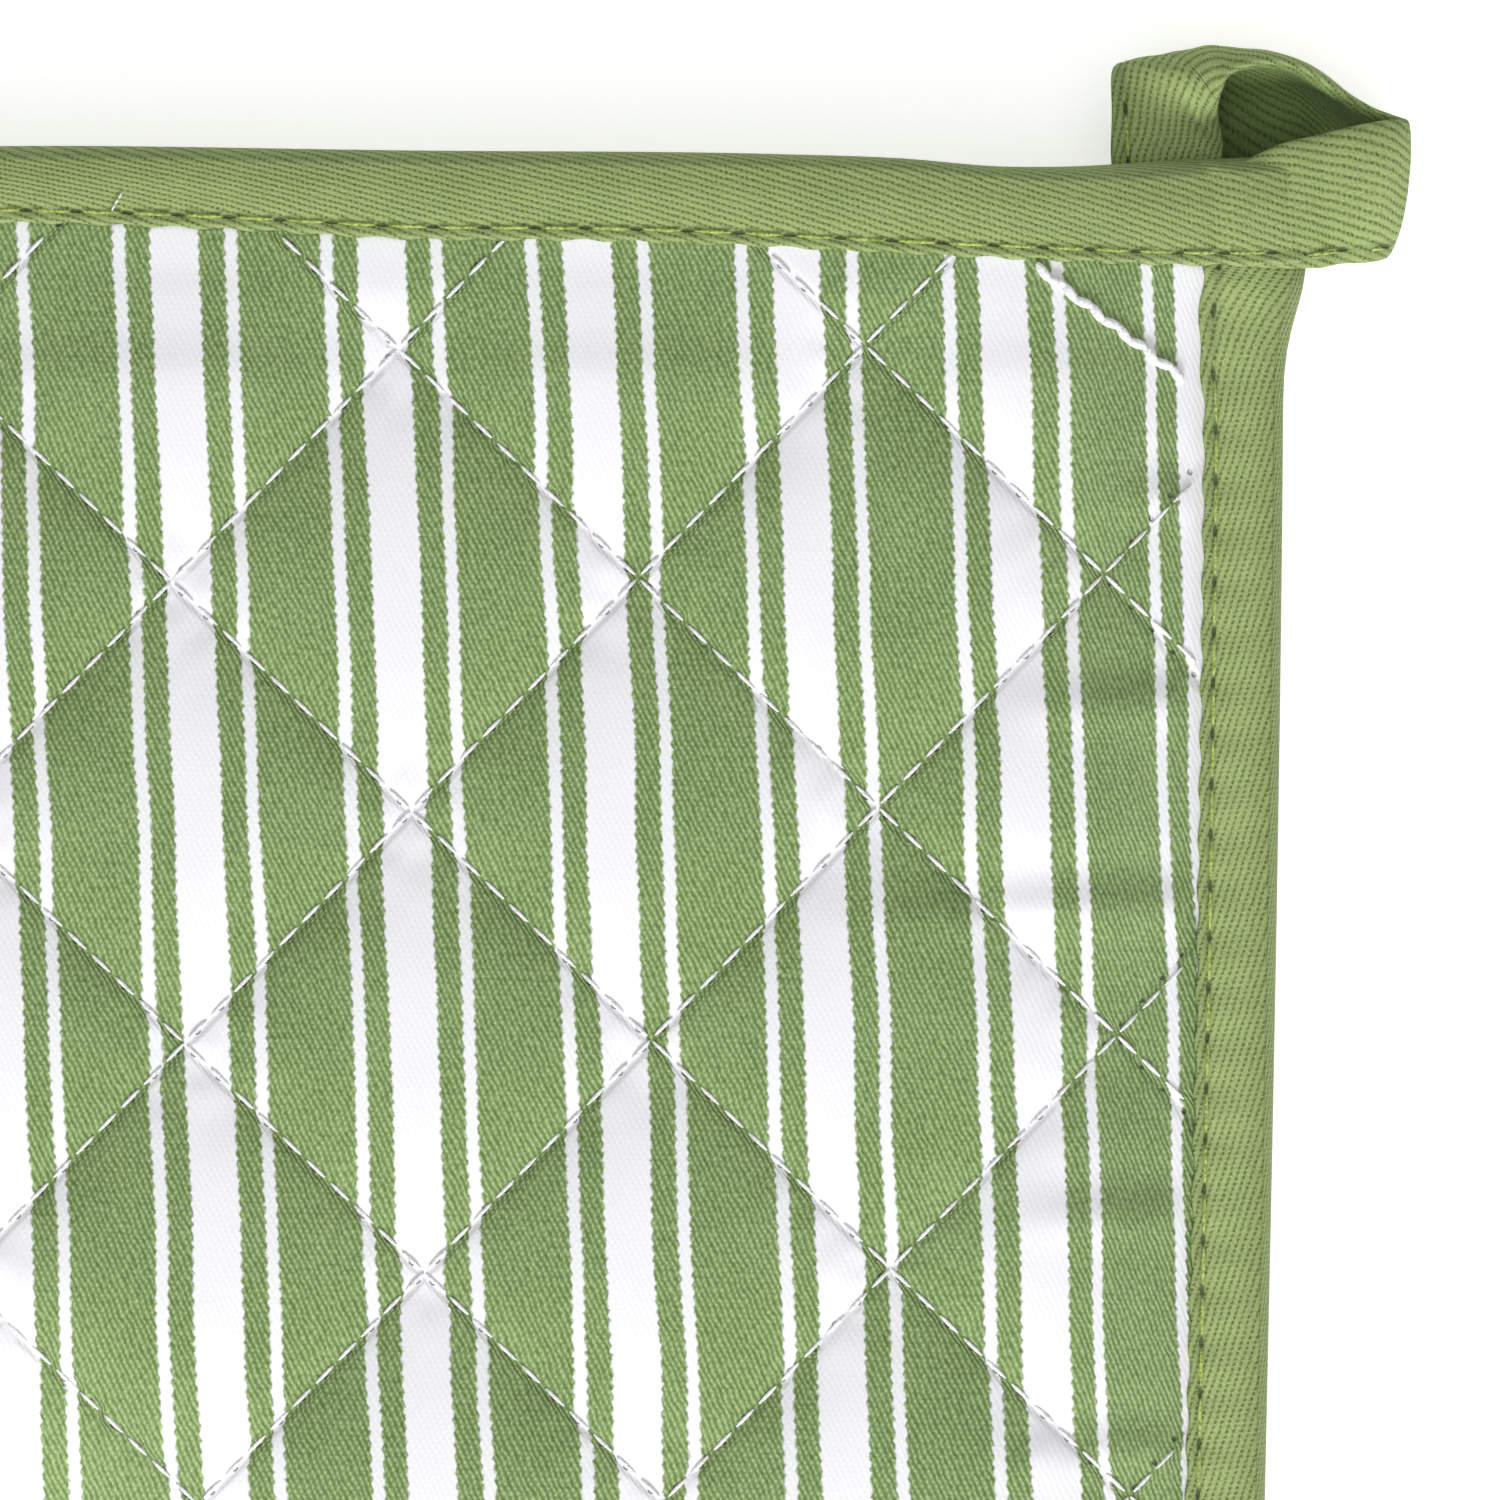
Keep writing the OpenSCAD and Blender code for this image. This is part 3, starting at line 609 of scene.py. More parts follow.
def sew(name, starts, ends, width, thread):
    """One slim rounded stitch from each start to each end, all in one piece."""
    bead = bmesh.new()
    bmesh.ops.create_uvsphere(bead, u_segments=6, v_segments=6, radius=1)
    bead.verts.index_update()
    shape = np.array([v.co for v in bead.verts])
    faces = [[v.index for v in f.verts] for f in bead.faces]
    bead.free()
    along = (ends - starts) / 2
    flat = np.stack([-along[:, 1], along[:, 0], np.zeros(len(along))], 1)
    flat *= (width / 2 / np.linalg.norm(flat, axis=1))[:, None]
    up = np.cross(along, flat) / np.linalg.norm(along, axis=1)[:, None]
    spots = (((starts + ends) / 2)[:, None] + shape[None, :, :1] * flat[:, None]
             + shape[None, :, 1:2] * up[:, None] + shape[None, :, 2:] * along[:, None]).reshape(-1, 3)
    mesh = bpy.data.meshes.new(name)
    mesh.from_pydata((spots + (0, mouth_y, 0)) * MM, [],
                     [[i + k * len(shape) for i in face] for k in range(len(starts)) for face in faces])
    thing = dress(name, mesh, thread)
    return thing


def on_cloth(points, level, lift=0.0):
    """Points of the plan, lifted on to the cloth of height level(x, y)."""
    return np.column_stack([points, level(points[:, 0], points[:, 1]) + lift])


def quilt_stitches():
    """Start and end of every quilting stitch on the pattern, family by family."""
    starts, ends = [], []
    steps = (np.arange(-115, 65) + 0.5) * stitch_pitch / np.linalg.norm(side_a)
    share = stitch_len / np.linalg.norm(side_a)
    for line in range(-10, 5):
        for swap in (False, True):
            a = np.stack([np.full_like(steps, line), steps - share / 2], 1)
            b = np.stack([np.full_like(steps, line), steps + share / 2], 1)
            if swap:
                a, b = a[:, ::-1], b[:, ::-1]
            starts.append(a @ to_xy.T + lattice_at)
            ends.append(b @ to_xy.T + lattice_at)
    starts, ends = np.vstack(starts), np.vstack(ends)
    mid = (starts + ends) / 2
    keep = inside_pattern(mid[:, 0], mid[:, 1]) & (mid[:, 1] < -10)
    starts, ends, mid = starts[keep], ends[keep], mid[keep]
    keep = seam_gap(mid[:, 0], mid[:, 1]) > tape_w + 0.4
    return starts[keep], ends[keep]


stitch_len, quilt_thread_w = 2.85, 0.5
white_thread = spun_thread("white_thread", (0.56, 0.57, 0.57, 1), (0.88, 0.88, 0.89, 1))
starts, ends = quilt_stitches()
mids = (starts + ends) / 2
on_thumb = ((mids - fold_a) @ fold_out > 0) & (mids[:, 0] < fold_a[0])
for side, skin, lift in (("front", front_skin, 0.10), ("back", back_skin, -0.06)):
    for part, chosen in (("hand", ~on_thumb), ("thumb", on_thumb)):
        stitches = sew(f"{side}_quilting_thread_{part}", on_cloth(starts[chosen], skin, lift),
                       on_cloth(ends[chosen], skin, lift), quilt_thread_w, white_thread)
        take_over(stitches, side, "quilting_thread", part)


# ---------------------------------------------------------------- Side binding
# Green bias-cut twill tape, folded over the raw edges of both walls and topstitched through. It
# goes round the fingers, down into the crotch, round the thumb and back up to the mouth.
tape_t = 0.95
tape_pitch = 5.5
stitch_in = 1.35


def bias_twill(name, outer_shade_from, outer_shade, back_side_shade):
    """The tape's cloth, with painted shade: darker along its hem, in the stitch groove, towards the fold
    over the raw edge and on its back side.
    """
    material, tree = new_material(name)
    flat, along, across = cloth_map(tree)
    uneven = flat.noise(0.6, 2.0) * 0.22
    c, t = math.cos(math.radians(-17)), math.sin(math.radians(-17))
    over = ((across + uneven) * c - (along + uneven) * t) / 0.76
    run = (along * c + across * t) / 0.60
    ribs = (over.fract() - 0.5).abs() * 2
    beads = ((run + over * 0.5).fract() - 0.5).abs() * 2
    pit = ribs.fade(0.25, 1.0) * beads.fade(-0.25, 0.9)
    speckle = flat.noise(2.4, 3.0, 0.75)
    flecks = flat.noise(4.0, 2.0, 0.7).fade(0.35, 0.68) * 0.36
    faded = flat.noise(0.12, 2.0)
    shade = 1 - pit * 0.42 - ribs.fade(0.3, 1.0) * 0.16 + speckle * 0.9 + flecks + faded * 0.22 - 0.80
    colour = shade.fade(0.0, 1.1).mix((0.062, 0.128, 0.012, 1), (0.352, 0.430, 0.175, 1))
    # Painted shade on the tape's back side, which lies inside the loop, in shadow.
    colour = (across.fade(-0.2, -0.9) * back_side_shade).mix(colour, (0.028, 0.085, 0.006, 1))
    # Painted shade: darker along the rounded hem and over the band nearest the outer fold.
    edge = across.abs().fade(1.5, 0.5) * 0.12 + across.fade(outer_shade_from, outer_shade_from + 3.0) * outer_shade
    from_hole = (0.5 - ((along / tape_pitch).fract() - 0.5).abs()) * tape_pitch
    from_row = (across - stitch_in) * 3.4
    hole = ((from_hole * from_hole + from_row * from_row) ** 0.5).fade(0.95, 0.35)
    # Painted shade in the groove along the stitch row.
    groove = (across - stitch_in).abs().fade(0.75, 0.0) * 0.22
    colour = (hole * 0.75).mix((1 - edge - groove).tint(colour), (0.024, 0.062, 0.006, 1))
    finish_cloth(tree, colour, 0.98 - speckle * 0.08, speckle * 0.8 - pit * 0.55 - hole * 1.6, 0.2, 0.04)
    return material


def strip(along, across, place, uv, closed=False):
    """A net of cloth: place(u, v) gives millimetres for u and v from 0 to 1, uv(u, v) the weave."""
    net = bmesh.new()
    bmesh.ops.create_grid(net, x_segments=along, y_segments=across, size=0.5)
    u = np.array([v.co.x for v in net.verts]) + 0.5
    v = np.array([v.co.y for v in net.verts]) + 0.5
    layer = net.loops.layers.uv.new("cloth")
    spots = np.stack(uv(u, v), 1) * MM
    net.verts.index_update()
    for face in net.faces:
        for loop in face.loops:
            loop[layer].uv = spots[loop.vert.index]
    for vert, p in zip(net.verts, np.stack(place(u, v), 1)):
        vert.co = p
    if closed:
        bmesh.ops.remove_doubles(net, verts=net.verts[:], dist=1e-4)
    return net


def fold_round(e, full=tape_t, radius=0.5):
    """Height of a tape e mm in from its folded edge."""
    return full * np.sqrt(np.clip(1 - (1 - np.clip(e / radius, 0, 1)) ** 2, 0, 1))


def gathers(s, e):
    """Relief of a topstitched tape: a groove along the stitches, drawn in at each needle hole."""
    row = np.exp(-((e - stitch_in) / 0.75) ** 2)
    swell = np.exp(-((e - 3.2) / 2.6) ** 2)
    hole = np.cos(2 * np.pi * s / tape_pitch)
    uneven = np.sin(s * 0.31) + np.sin(s * 0.127 + 2)
    return -row * (0.20 + 0.14 * hole) - swell * 0.13 * hole + 0.07 * swell * uneven


section_e = np.array([0, .03, .1, .22, .4, .7, 1.0, 1.35, 1.7, 2.2, 3, 4, 5, 6, 7, 7.6])


def path_points(points, spacing):
    """The path resampled evenly, with the direction inwards at each place, and its length."""
    points = np.array(points)
    legs = np.linalg.norm(np.diff(points, axis=0), axis=1)
    at = np.concatenate([[0], np.cumsum(legs)])
    n = int(at[-1] / spacing)
    s = np.linspace(0, at[-1], n + 1)
    xy = np.stack([np.interp(s, at, points[:, k]) for k in (0, 1)], 1)
    run = np.gradient(xy, axis=0)
    run = np.array([run[max(0, i - 2):i + 3].mean(0) for i in range(len(run))])
    run /= np.linalg.norm(run, axis=1)[:, None]
    return s, xy, np.stack([run[:, 1], -run[:, 0]], 1)


def side_tape(name, points, start_in=None, end_in=None):
    s, xy, inwards = path_points(points, 0.9)
    for ending, wanted in ((slice(0, 1), start_in), (slice(-1, None), end_in)):
        if wanted is not None:
            inwards[ending] = wanted
    arms = len(section_e)
    turns = np.linspace(0, np.pi, 13)[1:-1]
    d = np.concatenate([tape_w - section_e, 1.4 - 1.4 * np.sin(turns), (tape_w - section_e)[::-1]])
    e = np.concatenate([section_e, np.full(11, 8.0), section_e[::-1]])
    length_v = np.concatenate([[0], np.cumsum(np.concatenate(
        [np.diff(section_e), np.full(12, 0.75), np.diff(section_e)]))])

    def place(u, v):
        i = np.round(u * (len(s) - 1)).astype(int)
        j = np.round(v * (len(d) - 1)).astype(int)
        wave = 0.16 * np.sin(2 * np.pi * s[i] / tape_pitch + 1) * np.exp(-e[j] / 1.5)
        depth = (d[j] + wave) * (1 + 0.28 * smooth(-29, -13, xy[i, 1]))
        x = xy[i, 0] + depth * inwards[i, 0]
        y = xy[i, 1] + depth * inwards[i, 1]
        lift = fold_round(e[j]) + gathers(s[i], e[j]) * smooth(0.15, 0.6, e[j]) - 0.03
        top = front_face(np.maximum(depth, 0), y) + lift
        low = back_face(np.maximum(depth, 0), y) - lift * 0.85
        k = j - arms
        angle = np.concatenate([[0], turns, [np.pi]])[np.clip(k + 1, 0, 12)]
        edge_top = front_face(1.4, y) + tape_t
        edge_low = back_face(1.4, y) - tape_t * 0.85
        rolled = (edge_top + edge_low) / 2 + (edge_top - edge_low) / 2 * np.cos(angle)
        z = np.where(k < 0, top, np.where(k > 10, low, rolled))
        return x, y, np.maximum(z, 0.04)

    net = strip(len(s) - 1, len(d) - 1, place,
                lambda u, v: (u * s[-1], length_v[np.round(v * (len(d) - 1)).astype(int)]))
    bmesh.ops.recalc_face_normals(net, faces=net.faces[:])
    upper = max(net.faces, key=lambda f: f.calc_center_median().z)
    if upper.normal.z < 0:
        bmesh.ops.reverse_faces(net, faces=net.faces[:])
    tape = to_object(name, net, bias)
    thicken(tape, -1)
    return tape, s, xy, inwards


# The side tape's cloth carries painted shade over the band nearest its outer fold.
bias = bias_twill("bias_twill_tape", 4.6, 0.15, 0.0)
heel_lay = -fold_run * 1.25
hand_path = [np.array([half_w, wall_top])] + hand_side[1:]
heel_path = heel_side[:-1] + [np.array([-half_w, wall_top])]
hand_tape, *hand_row = side_tape("side_binding_hand", hand_path, end_in=fold_run)
thumb_tape, *thumb_row = side_tape("side_binding_thumb", thumb_side, start_in=fold_run, end_in=heel_lay)
heel_tape, *heel_row = side_tape("side_binding_heel", heel_path, start_in=heel_lay)
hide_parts("side_binding_fingers", "side_binding_palm")
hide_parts("side_binding_thumb")
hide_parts("side_binding_palm")
hinge_hand(hand_tape)
hinge_thumb(thumb_tape)
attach(heel_tape, "palm")

# ---------------------------------------------------------------- Side topstitching
# One row of yellow-green thread runs just inside the tape's folded edge, through both walls.
topstitch_w = 0.48
green_thread = spun_thread("green_thread", (0.15, 0.22, 0.03, 1), (0.47, 0.56, 0.16, 1))


def row_stitches(name, row, first):
    s, xy, inwards = row
    at = (np.arange(first, int(s[-1] / tape_pitch)) + 0.5) * tape_pitch
    rail = xy + inwards * ((tape_w - stitch_in) * (1 + 0.28 * smooth(-29, -13, xy[:, 1])))[:, None]
    pick = lambda q: np.stack([np.interp(q, s, rail[:, k]) for k in (0, 1)], 1)
    a, b = pick(at - 0.39 * tape_pitch), pick(at + 0.39 * tape_pitch)
    d = tape_w - stitch_in
    front = lambda x, y: front_face(d, y) + tape_t - 0.06
    back = lambda x, y: back_face(d, y) - tape_t * 0.85 + 0.09
    return sew(name, np.vstack([on_cloth(a, front), on_cloth(a, back)]),
               np.vstack([on_cloth(b, front), on_cloth(b, back)]), topstitch_w, green_thread)


hand_rows = row_stitches("side_topstitch_hand", hand_row, 2)
thumb_rows = row_stitches("side_topstitch_thumb", thumb_row, 0)
heel_rows = row_stitches("side_topstitch_heel", heel_row, 0)
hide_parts("side_topstitch_palm", "side_topstitch_fingers")
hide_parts("side_topstitch_thumb")
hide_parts("side_topstitch_palm")
hinge_hand(hand_rows)
hinge_thumb(thumb_rows)
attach(heel_rows, "palm")

# ---------------------------------------------------------------- Mouth binding
# The same tape goes right round the mouth over the ends of the side binding. Its upper fold rolls
# over the raw edge, and it dips towards the corner with the loop.
rim_at = [(-87, 0.2), (-55, 0.5), (-12, 0.0), (31, -0.4), (44, -0.8), (56, -1.7), (64, -1.7),
          (72, -1.3), (78, -0.9), (83, -0.7), (87, -0.5)]
hem_at = [(-87, -7.7), (-55, -7.8), (-30, -8.6), (-11, -9.6), (10, -9.8), (54, -11.7),
          (74, -12.3), (83, -12.2), (87, -11.8)]


def curve_through(table, x):
    """A smooth line through a few places."""
    px, py = np.array(table).T
    slope = np.gradient(py, px)
    i = np.clip(np.searchsorted(px, x) - 1, 0, len(px) - 2)
    h = px[i + 1] - px[i]
    t = np.clip((x - px[i]) / h, 0, 1)
    return (py[i] * (1 + 2 * t) * (1 - t) ** 2 + slope[i] * h * t * (1 - t) ** 2
            + py[i + 1] * t * t * (3 - 2 * t) - slope[i + 1] * h * t * t * (1 - t))


def mouth_top(x):
    d = np.maximum(half_w - np.abs(x), 0)
    return front_face(d, 0.0) + 0.95 * smooth(10.4, 8.6, d) + 3.2 * smooth(70, 88, x) + 0.02


def mouth_low(x):
    d = np.maximum(half_w - np.abs(x), 0)
    return np.maximum(back_face(d, 0.0) - 0.7 * smooth(10.4, 8.6, d) - 0.02, 0.9)


reach = half_w + 0.9
across_front = np.linspace(-reach, reach, 175)
side_turn = np.linspace(0, 1, 10)[1:-1]
top_end, low_end = float(mouth_top(reach)), float(mouth_low(reach))
inner_share = (half_w - 10.8) / reach


def around(front, back, right, left):
    return np.concatenate([front, right, back[::-1], left, front[:1]])


side_x = reach + 0.5 * np.sin(np.pi * side_turn)
ring_x = around(across_front, across_front, side_x, -side_x)
ring_z = around(mouth_top(across_front), mouth_low(across_front),
                top_end + (low_end - top_end) * side_turn, low_end + (top_end - low_end) * side_turn)
inner_across = across_front * inner_share
inner_side = np.full(8, reach * inner_share)
inner_x = around(inner_across, inner_across, inner_side, -inner_side)
lining_gap = np.maximum(half_w - np.abs(inner_across), 0)
inner_top = front_face(lining_gap, 0.0) - wall(lining_gap) - 0.1
inner_low = back_face(lining_gap, 0.0) + wall(lining_gap) + 0.1
inner_z = around(inner_top, inner_low, inner_top[-1] + (inner_low[-1] - inner_top[-1]) * side_turn,
                 inner_low[0] + (inner_top[0] - inner_low[0]) * side_turn)
ring_s = np.concatenate([[0], np.cumsum(np.hypot(np.diff(ring_x), np.diff(ring_z)))])
ring_s -= ring_s[len(across_front) - 1]
ring_out = np.stack([np.gradient(ring_z), -np.gradient(ring_x)], 1)
ring_out /= -np.linalg.norm(ring_out, axis=1)[:, None]
roll_r = 1.7
roll_turn = np.linspace(0, np.pi, 15)[1:-1]
band_e = np.concatenate([section_e, [8.2, 9.0]])


def mouth_place(i, j):
    """One corner of the mouth binding's net, i round the mouth and j over the rim."""
    arm = len(band_e)
    e = np.concatenate([band_e, np.full(13, 9.9), band_e[::-1]])[j]
    x, z = ring_x[i], ring_z[i]
    rim = curve_through(rim_at, x) - 1.5 * smooth(70, 75, x) * smooth(9, 5, z)
    hem = curve_through(hem_at, x)
    wave = 0.16 * np.sin(2 * np.pi * ring_s[i] / tape_pitch + 2) * np.exp(-e / 1.5)
    y = hem + wave + np.where(e < 2.3, e, 2.3 + (e - 2.3) * (rim - roll_r - hem - 2.3) / (band_e[-1] - 2.3))
    lift = fold_round(e) + gathers(ring_s[i], e) * smooth(0.15, 0.6, e) - 0.03
    outer_x, outer_z = x + ring_out[i, 0] * lift, z + ring_out[i, 1] * lift
    in_x, in_z = inner_x[i] - ring_out[i, 0] * lift, inner_z[i] - ring_out[i, 1] * lift
    k = j - arm
    angle = np.concatenate([[0], roll_turn, [np.pi]])[np.clip(k + 1, 0, 14)]
    share = (1 - np.cos(angle)) / 2
    full_out = x + ring_out[i, 0] * tape_t, z + ring_out[i, 1] * tape_t
    full_in = inner_x[i] - ring_out[i, 0] * tape_t, inner_z[i] - ring_out[i, 1] * tape_t
    roll_x = full_out[0] + (full_in[0] - full_out[0]) * share
    roll_z = full_out[1] + (full_in[1] - full_out[1]) * share
    roll_y = rim - roll_r + roll_r * np.sin(angle)
    pick = lambda first, middle, last: np.where(k < 0, first, np.where(k > 12, last, middle))
    return (pick(outer_x, roll_x, in_x), pick(y, roll_y, y), np.maximum(pick(outer_z, roll_z, in_z), 0.05))


rows = 2 * len(band_e) + 13
over_rim = np.concatenate([[0], np.cumsum(np.concatenate(
    [np.diff(band_e), np.full(14, 0.45), np.diff(band_e)]))])
index = lambda share, n: np.round(share * (n - 1)).astype(int)
net = strip(len(ring_x) - 1, rows - 1,
            lambda u, v: mouth_place(index(u, len(ring_x)), index(v, rows)),
            lambda u, v: (ring_s[index(u, len(ring_x))], over_rim[index(v, rows)]), closed=True)
bmesh.ops.recalc_face_normals(net, faces=net.faces[:])
if max(net.faces, key=lambda f: f.calc_center_median().z).normal.z < 0:
    bmesh.ops.reverse_faces(net, faces=net.faces[:])
cuff = to_object("mouth_binding", net, bias)
thicken(cuff, -1)
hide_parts("cuff_binding")
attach(cuff, "palm")

# ---------------------------------------------------------------- Mouth topstitching
# One row of the same yellow-green thread holds the mouth's tape along its lower edge, front and
# back.
at = (np.arange(-32, -1) + 0.5) * tape_pitch
row_x = [np.interp(at + k * tape_pitch, ring_s[:len(across_front)], across_front) for k in (-0.39, 0.39)]
tips = [np.stack([x, curve_through(hem_at, x) + stitch_in], 1) for x in row_x]
over = lambda x, y: mouth_top(x) + tape_t - 0.08
under = lambda x, y: mouth_low(x) - tape_t + 0.18
both_faces = lambda points: np.vstack([on_cloth(points, over), on_cloth(points, under)])
cuff_rows = sew("mouth_topstitch", both_faces(tips[0]), both_faces(tips[1]),
                topstitch_w, green_thread)
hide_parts("cuff_topstitch")
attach(cuff_rows, "palm")

# ---------------------------------------------------------------- Hanging loop
# The mouth's tape runs on past the corner, folds back on itself, rises in a soft arch behind the
# rim and comes down into the mouth, where its end is sewn to the inside.
loop_t = 1.9
# The loop's cloth carries painted shade on its back side, inside the loop, and near its fold.
loop_cloth = bias_twill("bias_twill_loop", 9.6, 0.14, 0.55)
loop_path = np.array([
    [[79.0, -1.1, 15.1], [79.0, -6.4, 15.5], [79.0, -12.3, 15.2]],
    [[83.2, 0.9, 13.9], [83.2, -6.0, 14.1], [83.2, -12.6, 13.8]],
    [[87.3, 1.9, 12.4], [87.3, -5.4, 12.7], [87.3, -12.5, 11.9]],
    [[91.0, 2.8, 12.3], [90.5, -4.9, 12.7], [89.5, -12.0, 11.2]],
    [[94.5, 3.5, 11.8], [94.0, -4.5, 11.9], [92.7, -11.8, 10.4]],
    [[96.6, 3.6, 9.9], [96.1, -4.2, 8.3], [94.5, -11.0, 6.9]],
    [[95.2, 4.0, 8.2], [94.5, -1.5, 4.8], [92.9, -8.5, 3.2]],
    [[91.2, 5.2, 9.8], [91.0, 3.8, 5.2], [90.0, -1.0, 2.6]],
    [[85.7, 8.7, 12.8], [85.6, 7.6, 7.2], [86.6, 0.1, 2.2]],
    [[81.6, 9.5, 14.6], [81.2, 8.6, 9.0], [81.6, -0.8, 2.4]],
    [[78.1, 8.6, 15.8], [76.8, 9.6, 10.8], [76.2, -0.8, 3.0]],
    [[76.9, 7.0, 16.2], [72.4, 10.2, 12.4], [68.8, 3.4, 5.6]],
    [[76.4, 4.6, 14.4], [70.6, 8.4, 15.6], [65.3, 8.9, 12.6]],
    [[76.8, 1.7, 11.0], [71.0, 1.7, 13.8], [64.9, 1.7, 16.2]],
    [[76.8, -3.0, 10.4], [71.0, -3.0, 13.3], [65.0, -3.0, 15.8]],
    [[76.8, -8.0, 10.4], [71.0, -8.0, 13.3], [65.0, -8.0, 15.8]]])


def loop_mid(u, t):
    """A place on the middle of the tape: u counts the stations, t goes from fold to stitched edge."""
    i = np.clip(np.floor(u).astype(int), 0, len(loop_path) - 2)
    f = (u - i)[:, None]
    t = t[:, None]

    def station(k):
        a, m, b = np.moveaxis(loop_path[np.clip(k, 0, len(loop_path) - 1)], 1, 0)
        return (1 - t) ** 2 * a + 2 * t * (1 - t) * (2 * m - (a + b) / 2) + t * t * b

    p0, p1, p2, p3 = (station(i + k) for k in (-1, 0, 1, 2))
    return 0.5 * (2 * p1 + (p2 - p0) * f + (2 * p0 - 5 * p1 + 4 * p2 - p3) * f ** 2
                  + (3 * p1 - p0 - 3 * p2 + p3) * f ** 3)


def loop_face(u, t):
    """The direction out of the tape's printed side."""
    du = loop_mid(np.minimum(u + 0.05, len(loop_path) - 1), t) - loop_mid(np.maximum(u - 0.05, 0), t)
    dt = loop_mid(u, np.minimum(t + 0.02, 1)) - loop_mid(u, np.maximum(t - 0.02, 0))
    out = np.cross(dt, du)
    return out / np.linalg.norm(out, axis=1)[:, None]


stations = np.linspace(0, len(loop_path) - 1, 400)
centre_line = loop_mid(stations, np.full(400, 0.5))
loop_s = np.concatenate([[0], np.cumsum(np.linalg.norm(np.diff(centre_line, axis=0), axis=1))])
loop_w = 12.0
loop_lead = float(np.interp(reach, centre_line[:40, 0], loop_s[:40]))


def loop_section(v):
    """The flattened tube's section: t across it and its height off the tape's middle."""
    turn_at = v * 2 * np.pi
    t = 0.5 - 0.5 * np.sign(np.cos(turn_at)) * np.abs(np.cos(turn_at)) ** 0.6
    return t, loop_t / 2 * np.sign(np.sin(turn_at)) * np.abs(np.sin(turn_at)) ** 0.45


around_v = np.linspace(0, 1, 801)
section_t, section_z = loop_section(around_v)
from_edge = np.concatenate([[0], np.cumsum(np.hypot(np.diff(section_t) * loop_w, np.diff(section_z)))])
from_edge = from_edge[400] - from_edge - 0.6


def loop_piece(name, first, last, bend=None):
    """One length of the loop as a flattened tube: round the fold, along the back and round again."""
    around_n = 44
    along_n = int(np.interp(last, stations, loop_s) - np.interp(first, stations, loop_s)) * 2

    def spots(u, v):
        t, thick = loop_section(v)
        w = first + (last - first) * u
        s = np.interp(w, stations, loop_s)
        edge_gap = loop_w * (1 - t)
        dimple = gathers(s, edge_gap) * smooth(0.2, 0.8, edge_gap) * 0.8
        crease = 0.12 * np.sin(s * 0.9 + t * 3) * np.sin(np.pi * t)
        slant, on_leg = t + 0.22 * (w - 12), smooth(11.3, 11.9, w) * smooth(13.4, 12.6, w)
        crease += 0.55 * np.exp(-((slant - 0.30) / 0.07) ** 2) * on_leg
        crease -= 0.45 * np.exp(-((slant - 0.46) / 0.09) ** 2) * on_leg
        relief = np.where(thick > 0, dimple + crease, -dimple)
        p = loop_mid(w, t) + loop_face(w, t) * (thick + relief)[:, None]
        return p[:, 0], p[:, 1], np.maximum(p[:, 2], 0.2)

    def weave(u, v):
        w = first + (last - first) * u
        return np.interp(w, stations, loop_s) - loop_lead, np.interp(v, around_v, from_edge)

    net = strip(along_n, around_n, spots, weave, closed=True)
    caps = [e for e in net.edges if e.is_boundary]
    bmesh.ops.holes_fill(net, edges=caps, sides=0)
    bmesh.ops.recalc_face_normals(net, faces=net.faces[:])
    piece = to_object(name, net, loop_cloth)
    if bend is None:
        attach(piece, "loop")
    else:
        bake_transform(piece)
    return piece


swing_y = mouth_y * MM
corner_bend = (0.0866, 0, 0), (0.0925, 0, 0)
leg_bend = (0, swing_y + 0.0017, 0), (0, swing_y + 0.0045, 0)
band_end, arch_end, loop_end = 5, 11.5, len(loop_path) - 1
front_band = loop_piece("loop_front_band", 0, band_end, corner_bend)
arch = loop_piece("loop_arch", band_end, arch_end)
tail = loop_piece("loop_inner_end", arch_end, loop_end, leg_bend)
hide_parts("hanging_loop")
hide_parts("hanging_loop")
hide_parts("loop_tail", "hanging_loop")

# ---------------------------------------------------------------- Loop stitching
# The tape's own row of topstitching runs on along the loop's open edge, down to its end inside the mouth.
def loop_stitches(name, first, last):
    lo, hi = (float(np.interp(k, stations, loop_s)) for k in (first, last))
    at = (np.arange(-3, 30) + 0.5) * tape_pitch + loop_lead
    at = at[(at > lo) & (at < hi - 1)]
    tips = []
    for shift in (-2.1, 2.1):
        where = np.interp(at + shift, loop_s, stations)
        t = np.full(len(at), 1 - stitch_in / loop_w)
        tips.append(loop_mid(where, t) + loop_face(where, t) * (loop_t / 2 - 0.05))
    return sew(name, tips[0], tips[1], topstitch_w, green_thread)


band_rows = loop_stitches("loop_band_stitch", 1.3, band_end)
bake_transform(band_rows)
arch_rows = loop_stitches("loop_arch_stitch", band_end, arch_end)
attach(arch_rows, "loop")
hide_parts("loop_topstitch")
tail_rows = loop_stitches("loop_end_stitch", arch_end, loop_end)
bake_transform(tail_rows)
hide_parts("loop_tack_stitch")

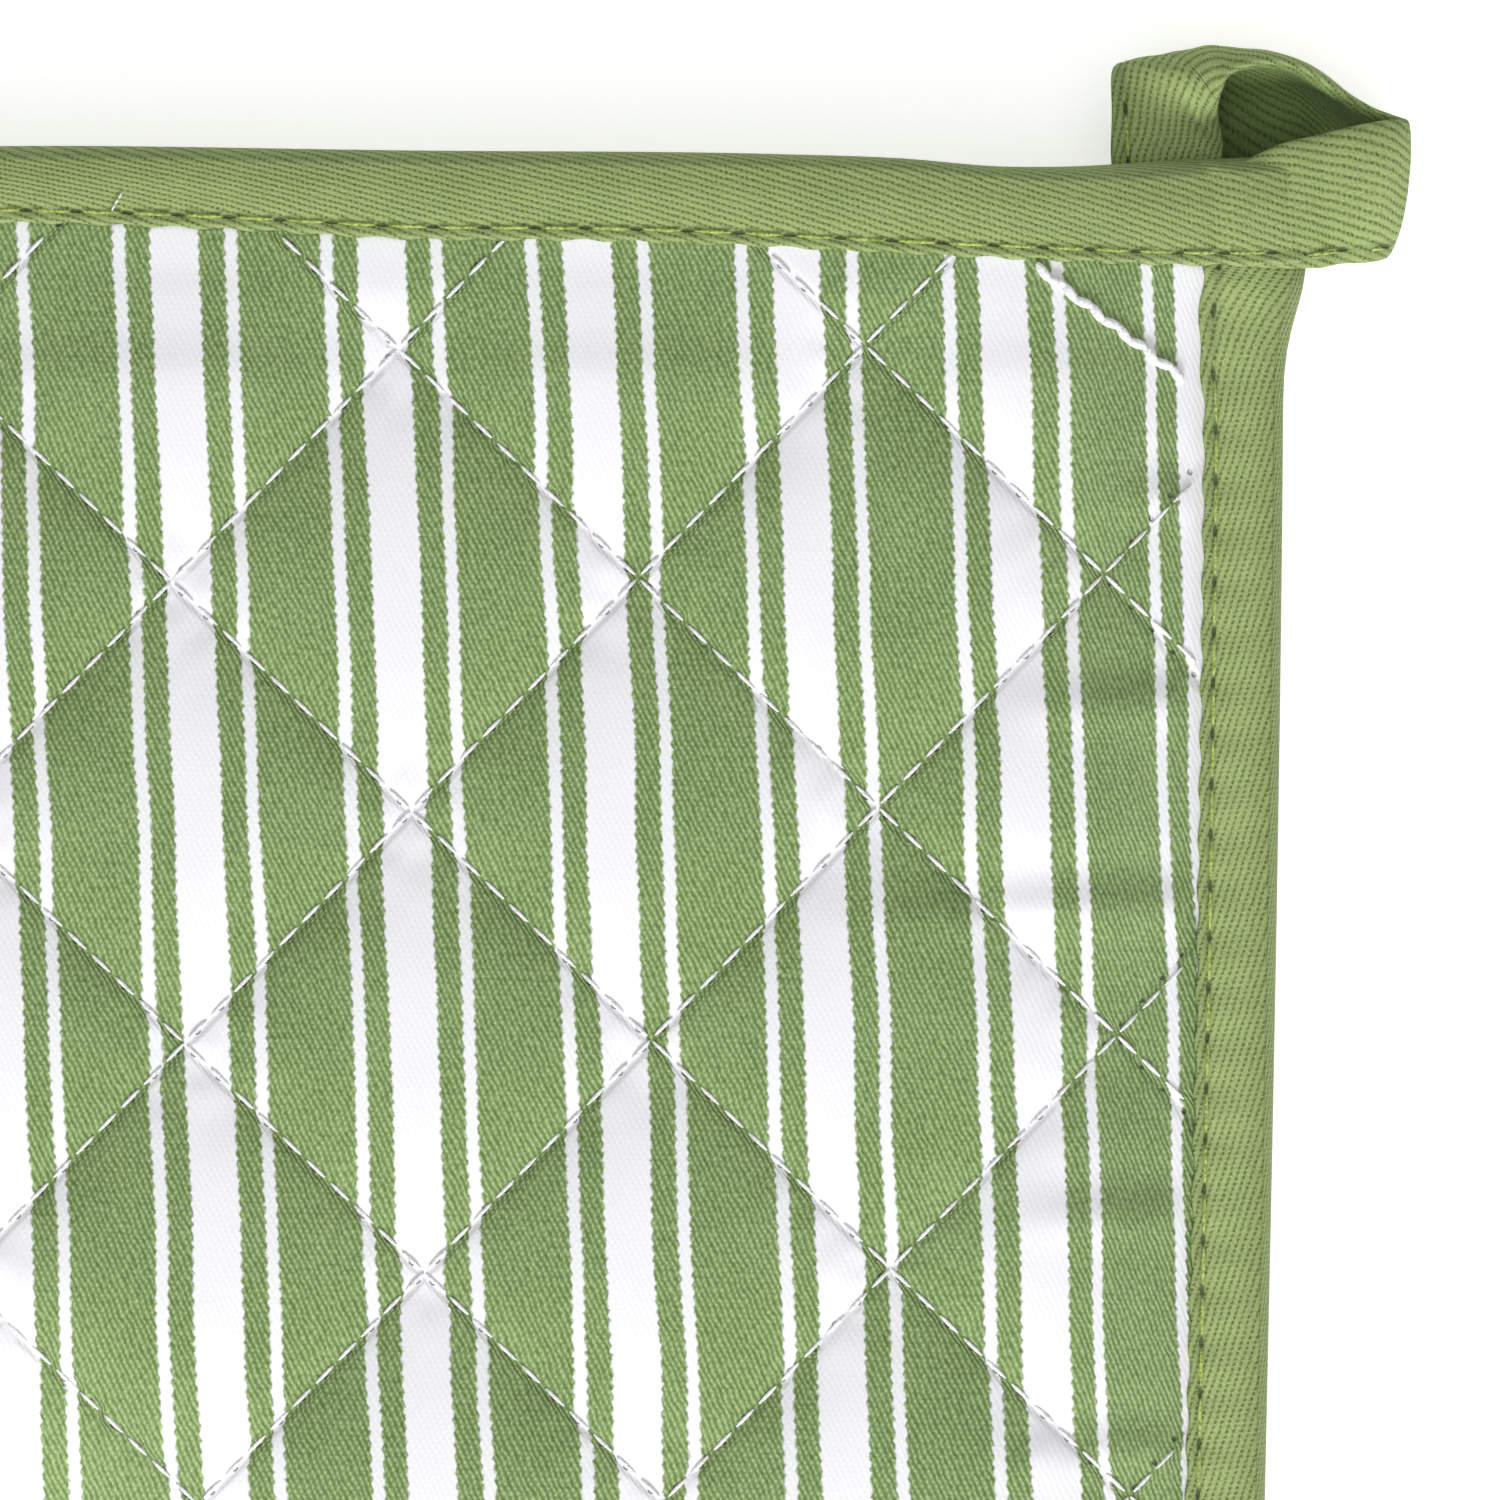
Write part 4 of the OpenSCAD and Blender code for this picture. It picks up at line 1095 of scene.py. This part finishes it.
# ---------------------------------------------------------------- Thread ends
# A thick white chain stitch overlaps the quilting near the loop, and one cut thread end was left
# lying on the mouth's binding.
chain_a, chain_b = np.array([56.4, -12.4]), np.array([72.4, -24.5])
step = (chain_b - chain_a) / 11
sway = np.array([-step[1], step[0]]) / np.linalg.norm(step) * 0.36 * np.array([1, -1] * 6)[:11, None]
links = chain_a + step * np.arange(11)[:, None]
chain = sew("chain_stitch_end", on_cloth(links + sway, front_skin, 0.28),
            on_cloth(links + step * 1.3 - sway, front_skin, 0.28), 1.25, white_thread)
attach(chain, "palm")
ends_xy = np.array([[-43.2, -6.6], [-42.9, -5.9], [-42.5, -5.3], [-42.1, -4.7]])
on_band = lambda x, y: mouth_top(x) + tape_t
left_over = sew("cut_thread_end", on_cloth(ends_xy[:-1], on_band, 0.1),
                on_cloth(ends_xy[1:], on_band, 0.25), 0.28, white_thread)
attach(left_over, "palm")

# ---------------------------------------------------------------- Studio
# A plain pale floor, one broad soft light from the fingers' side and a wide light overhead.
floor_net = bmesh.new()
bmesh.ops.create_grid(floor_net, x_segments=1, y_segments=1, size=3)
floor_mesh = bpy.data.meshes.new("floor")
floor_net.to_mesh(floor_mesh)
floor_net.free()
paper, tree = new_material("pale_floor")
for finish, value in {"Base Color": (0.93, 0.93, 0.93, 1), "Roughness": 0.9,
                      "Emission Color": (1, 1, 1, 1), "Emission Strength": 0.45}.items():
    tree.nodes["Principled BSDF"].inputs[finish].default_value = value
floor_mesh.materials.append(paper)
into_scene("floor", floor_mesh)


def soft_light(name, place, aim, size, power):
    lamp = bpy.data.lights.new(name, "AREA")
    lamp.size, lamp.energy = size, power
    holder = into_scene(name, lamp)
    holder.location = place
    holder.rotation_euler = (Vector(aim) - Vector(place)).to_track_quat("-Z", "Y").to_euler()


soft_light("key", (0.1, -1.4, 0.85), (0.02, 0.06, 0), 0.7, 31)
soft_light("overhead", (-0.1, 0.2, 2.2), (0, 0, 0), 2.0, 20)
world = bpy.data.worlds.new("studio")
world.use_nodes = True
world.node_tree.nodes["Background"].inputs[0].default_value = (1, 1, 1, 1)
world.node_tree.nodes["Background"].inputs[1].default_value = 0.36
bpy.context.scene.world = world
bpy.context.scene.view_settings.view_transform = "Standard"

view_w, far = 0.162, 4.0
lens = bpy.data.cameras.new("camera")
lens.sensor_width = 36
lens.lens = 36 * far / view_w
camera = into_scene("camera", lens)
camera.location = (0.0257, (mouth_y - 64.8) * MM, far + front_h * MM)
bpy.context.scene.camera = camera
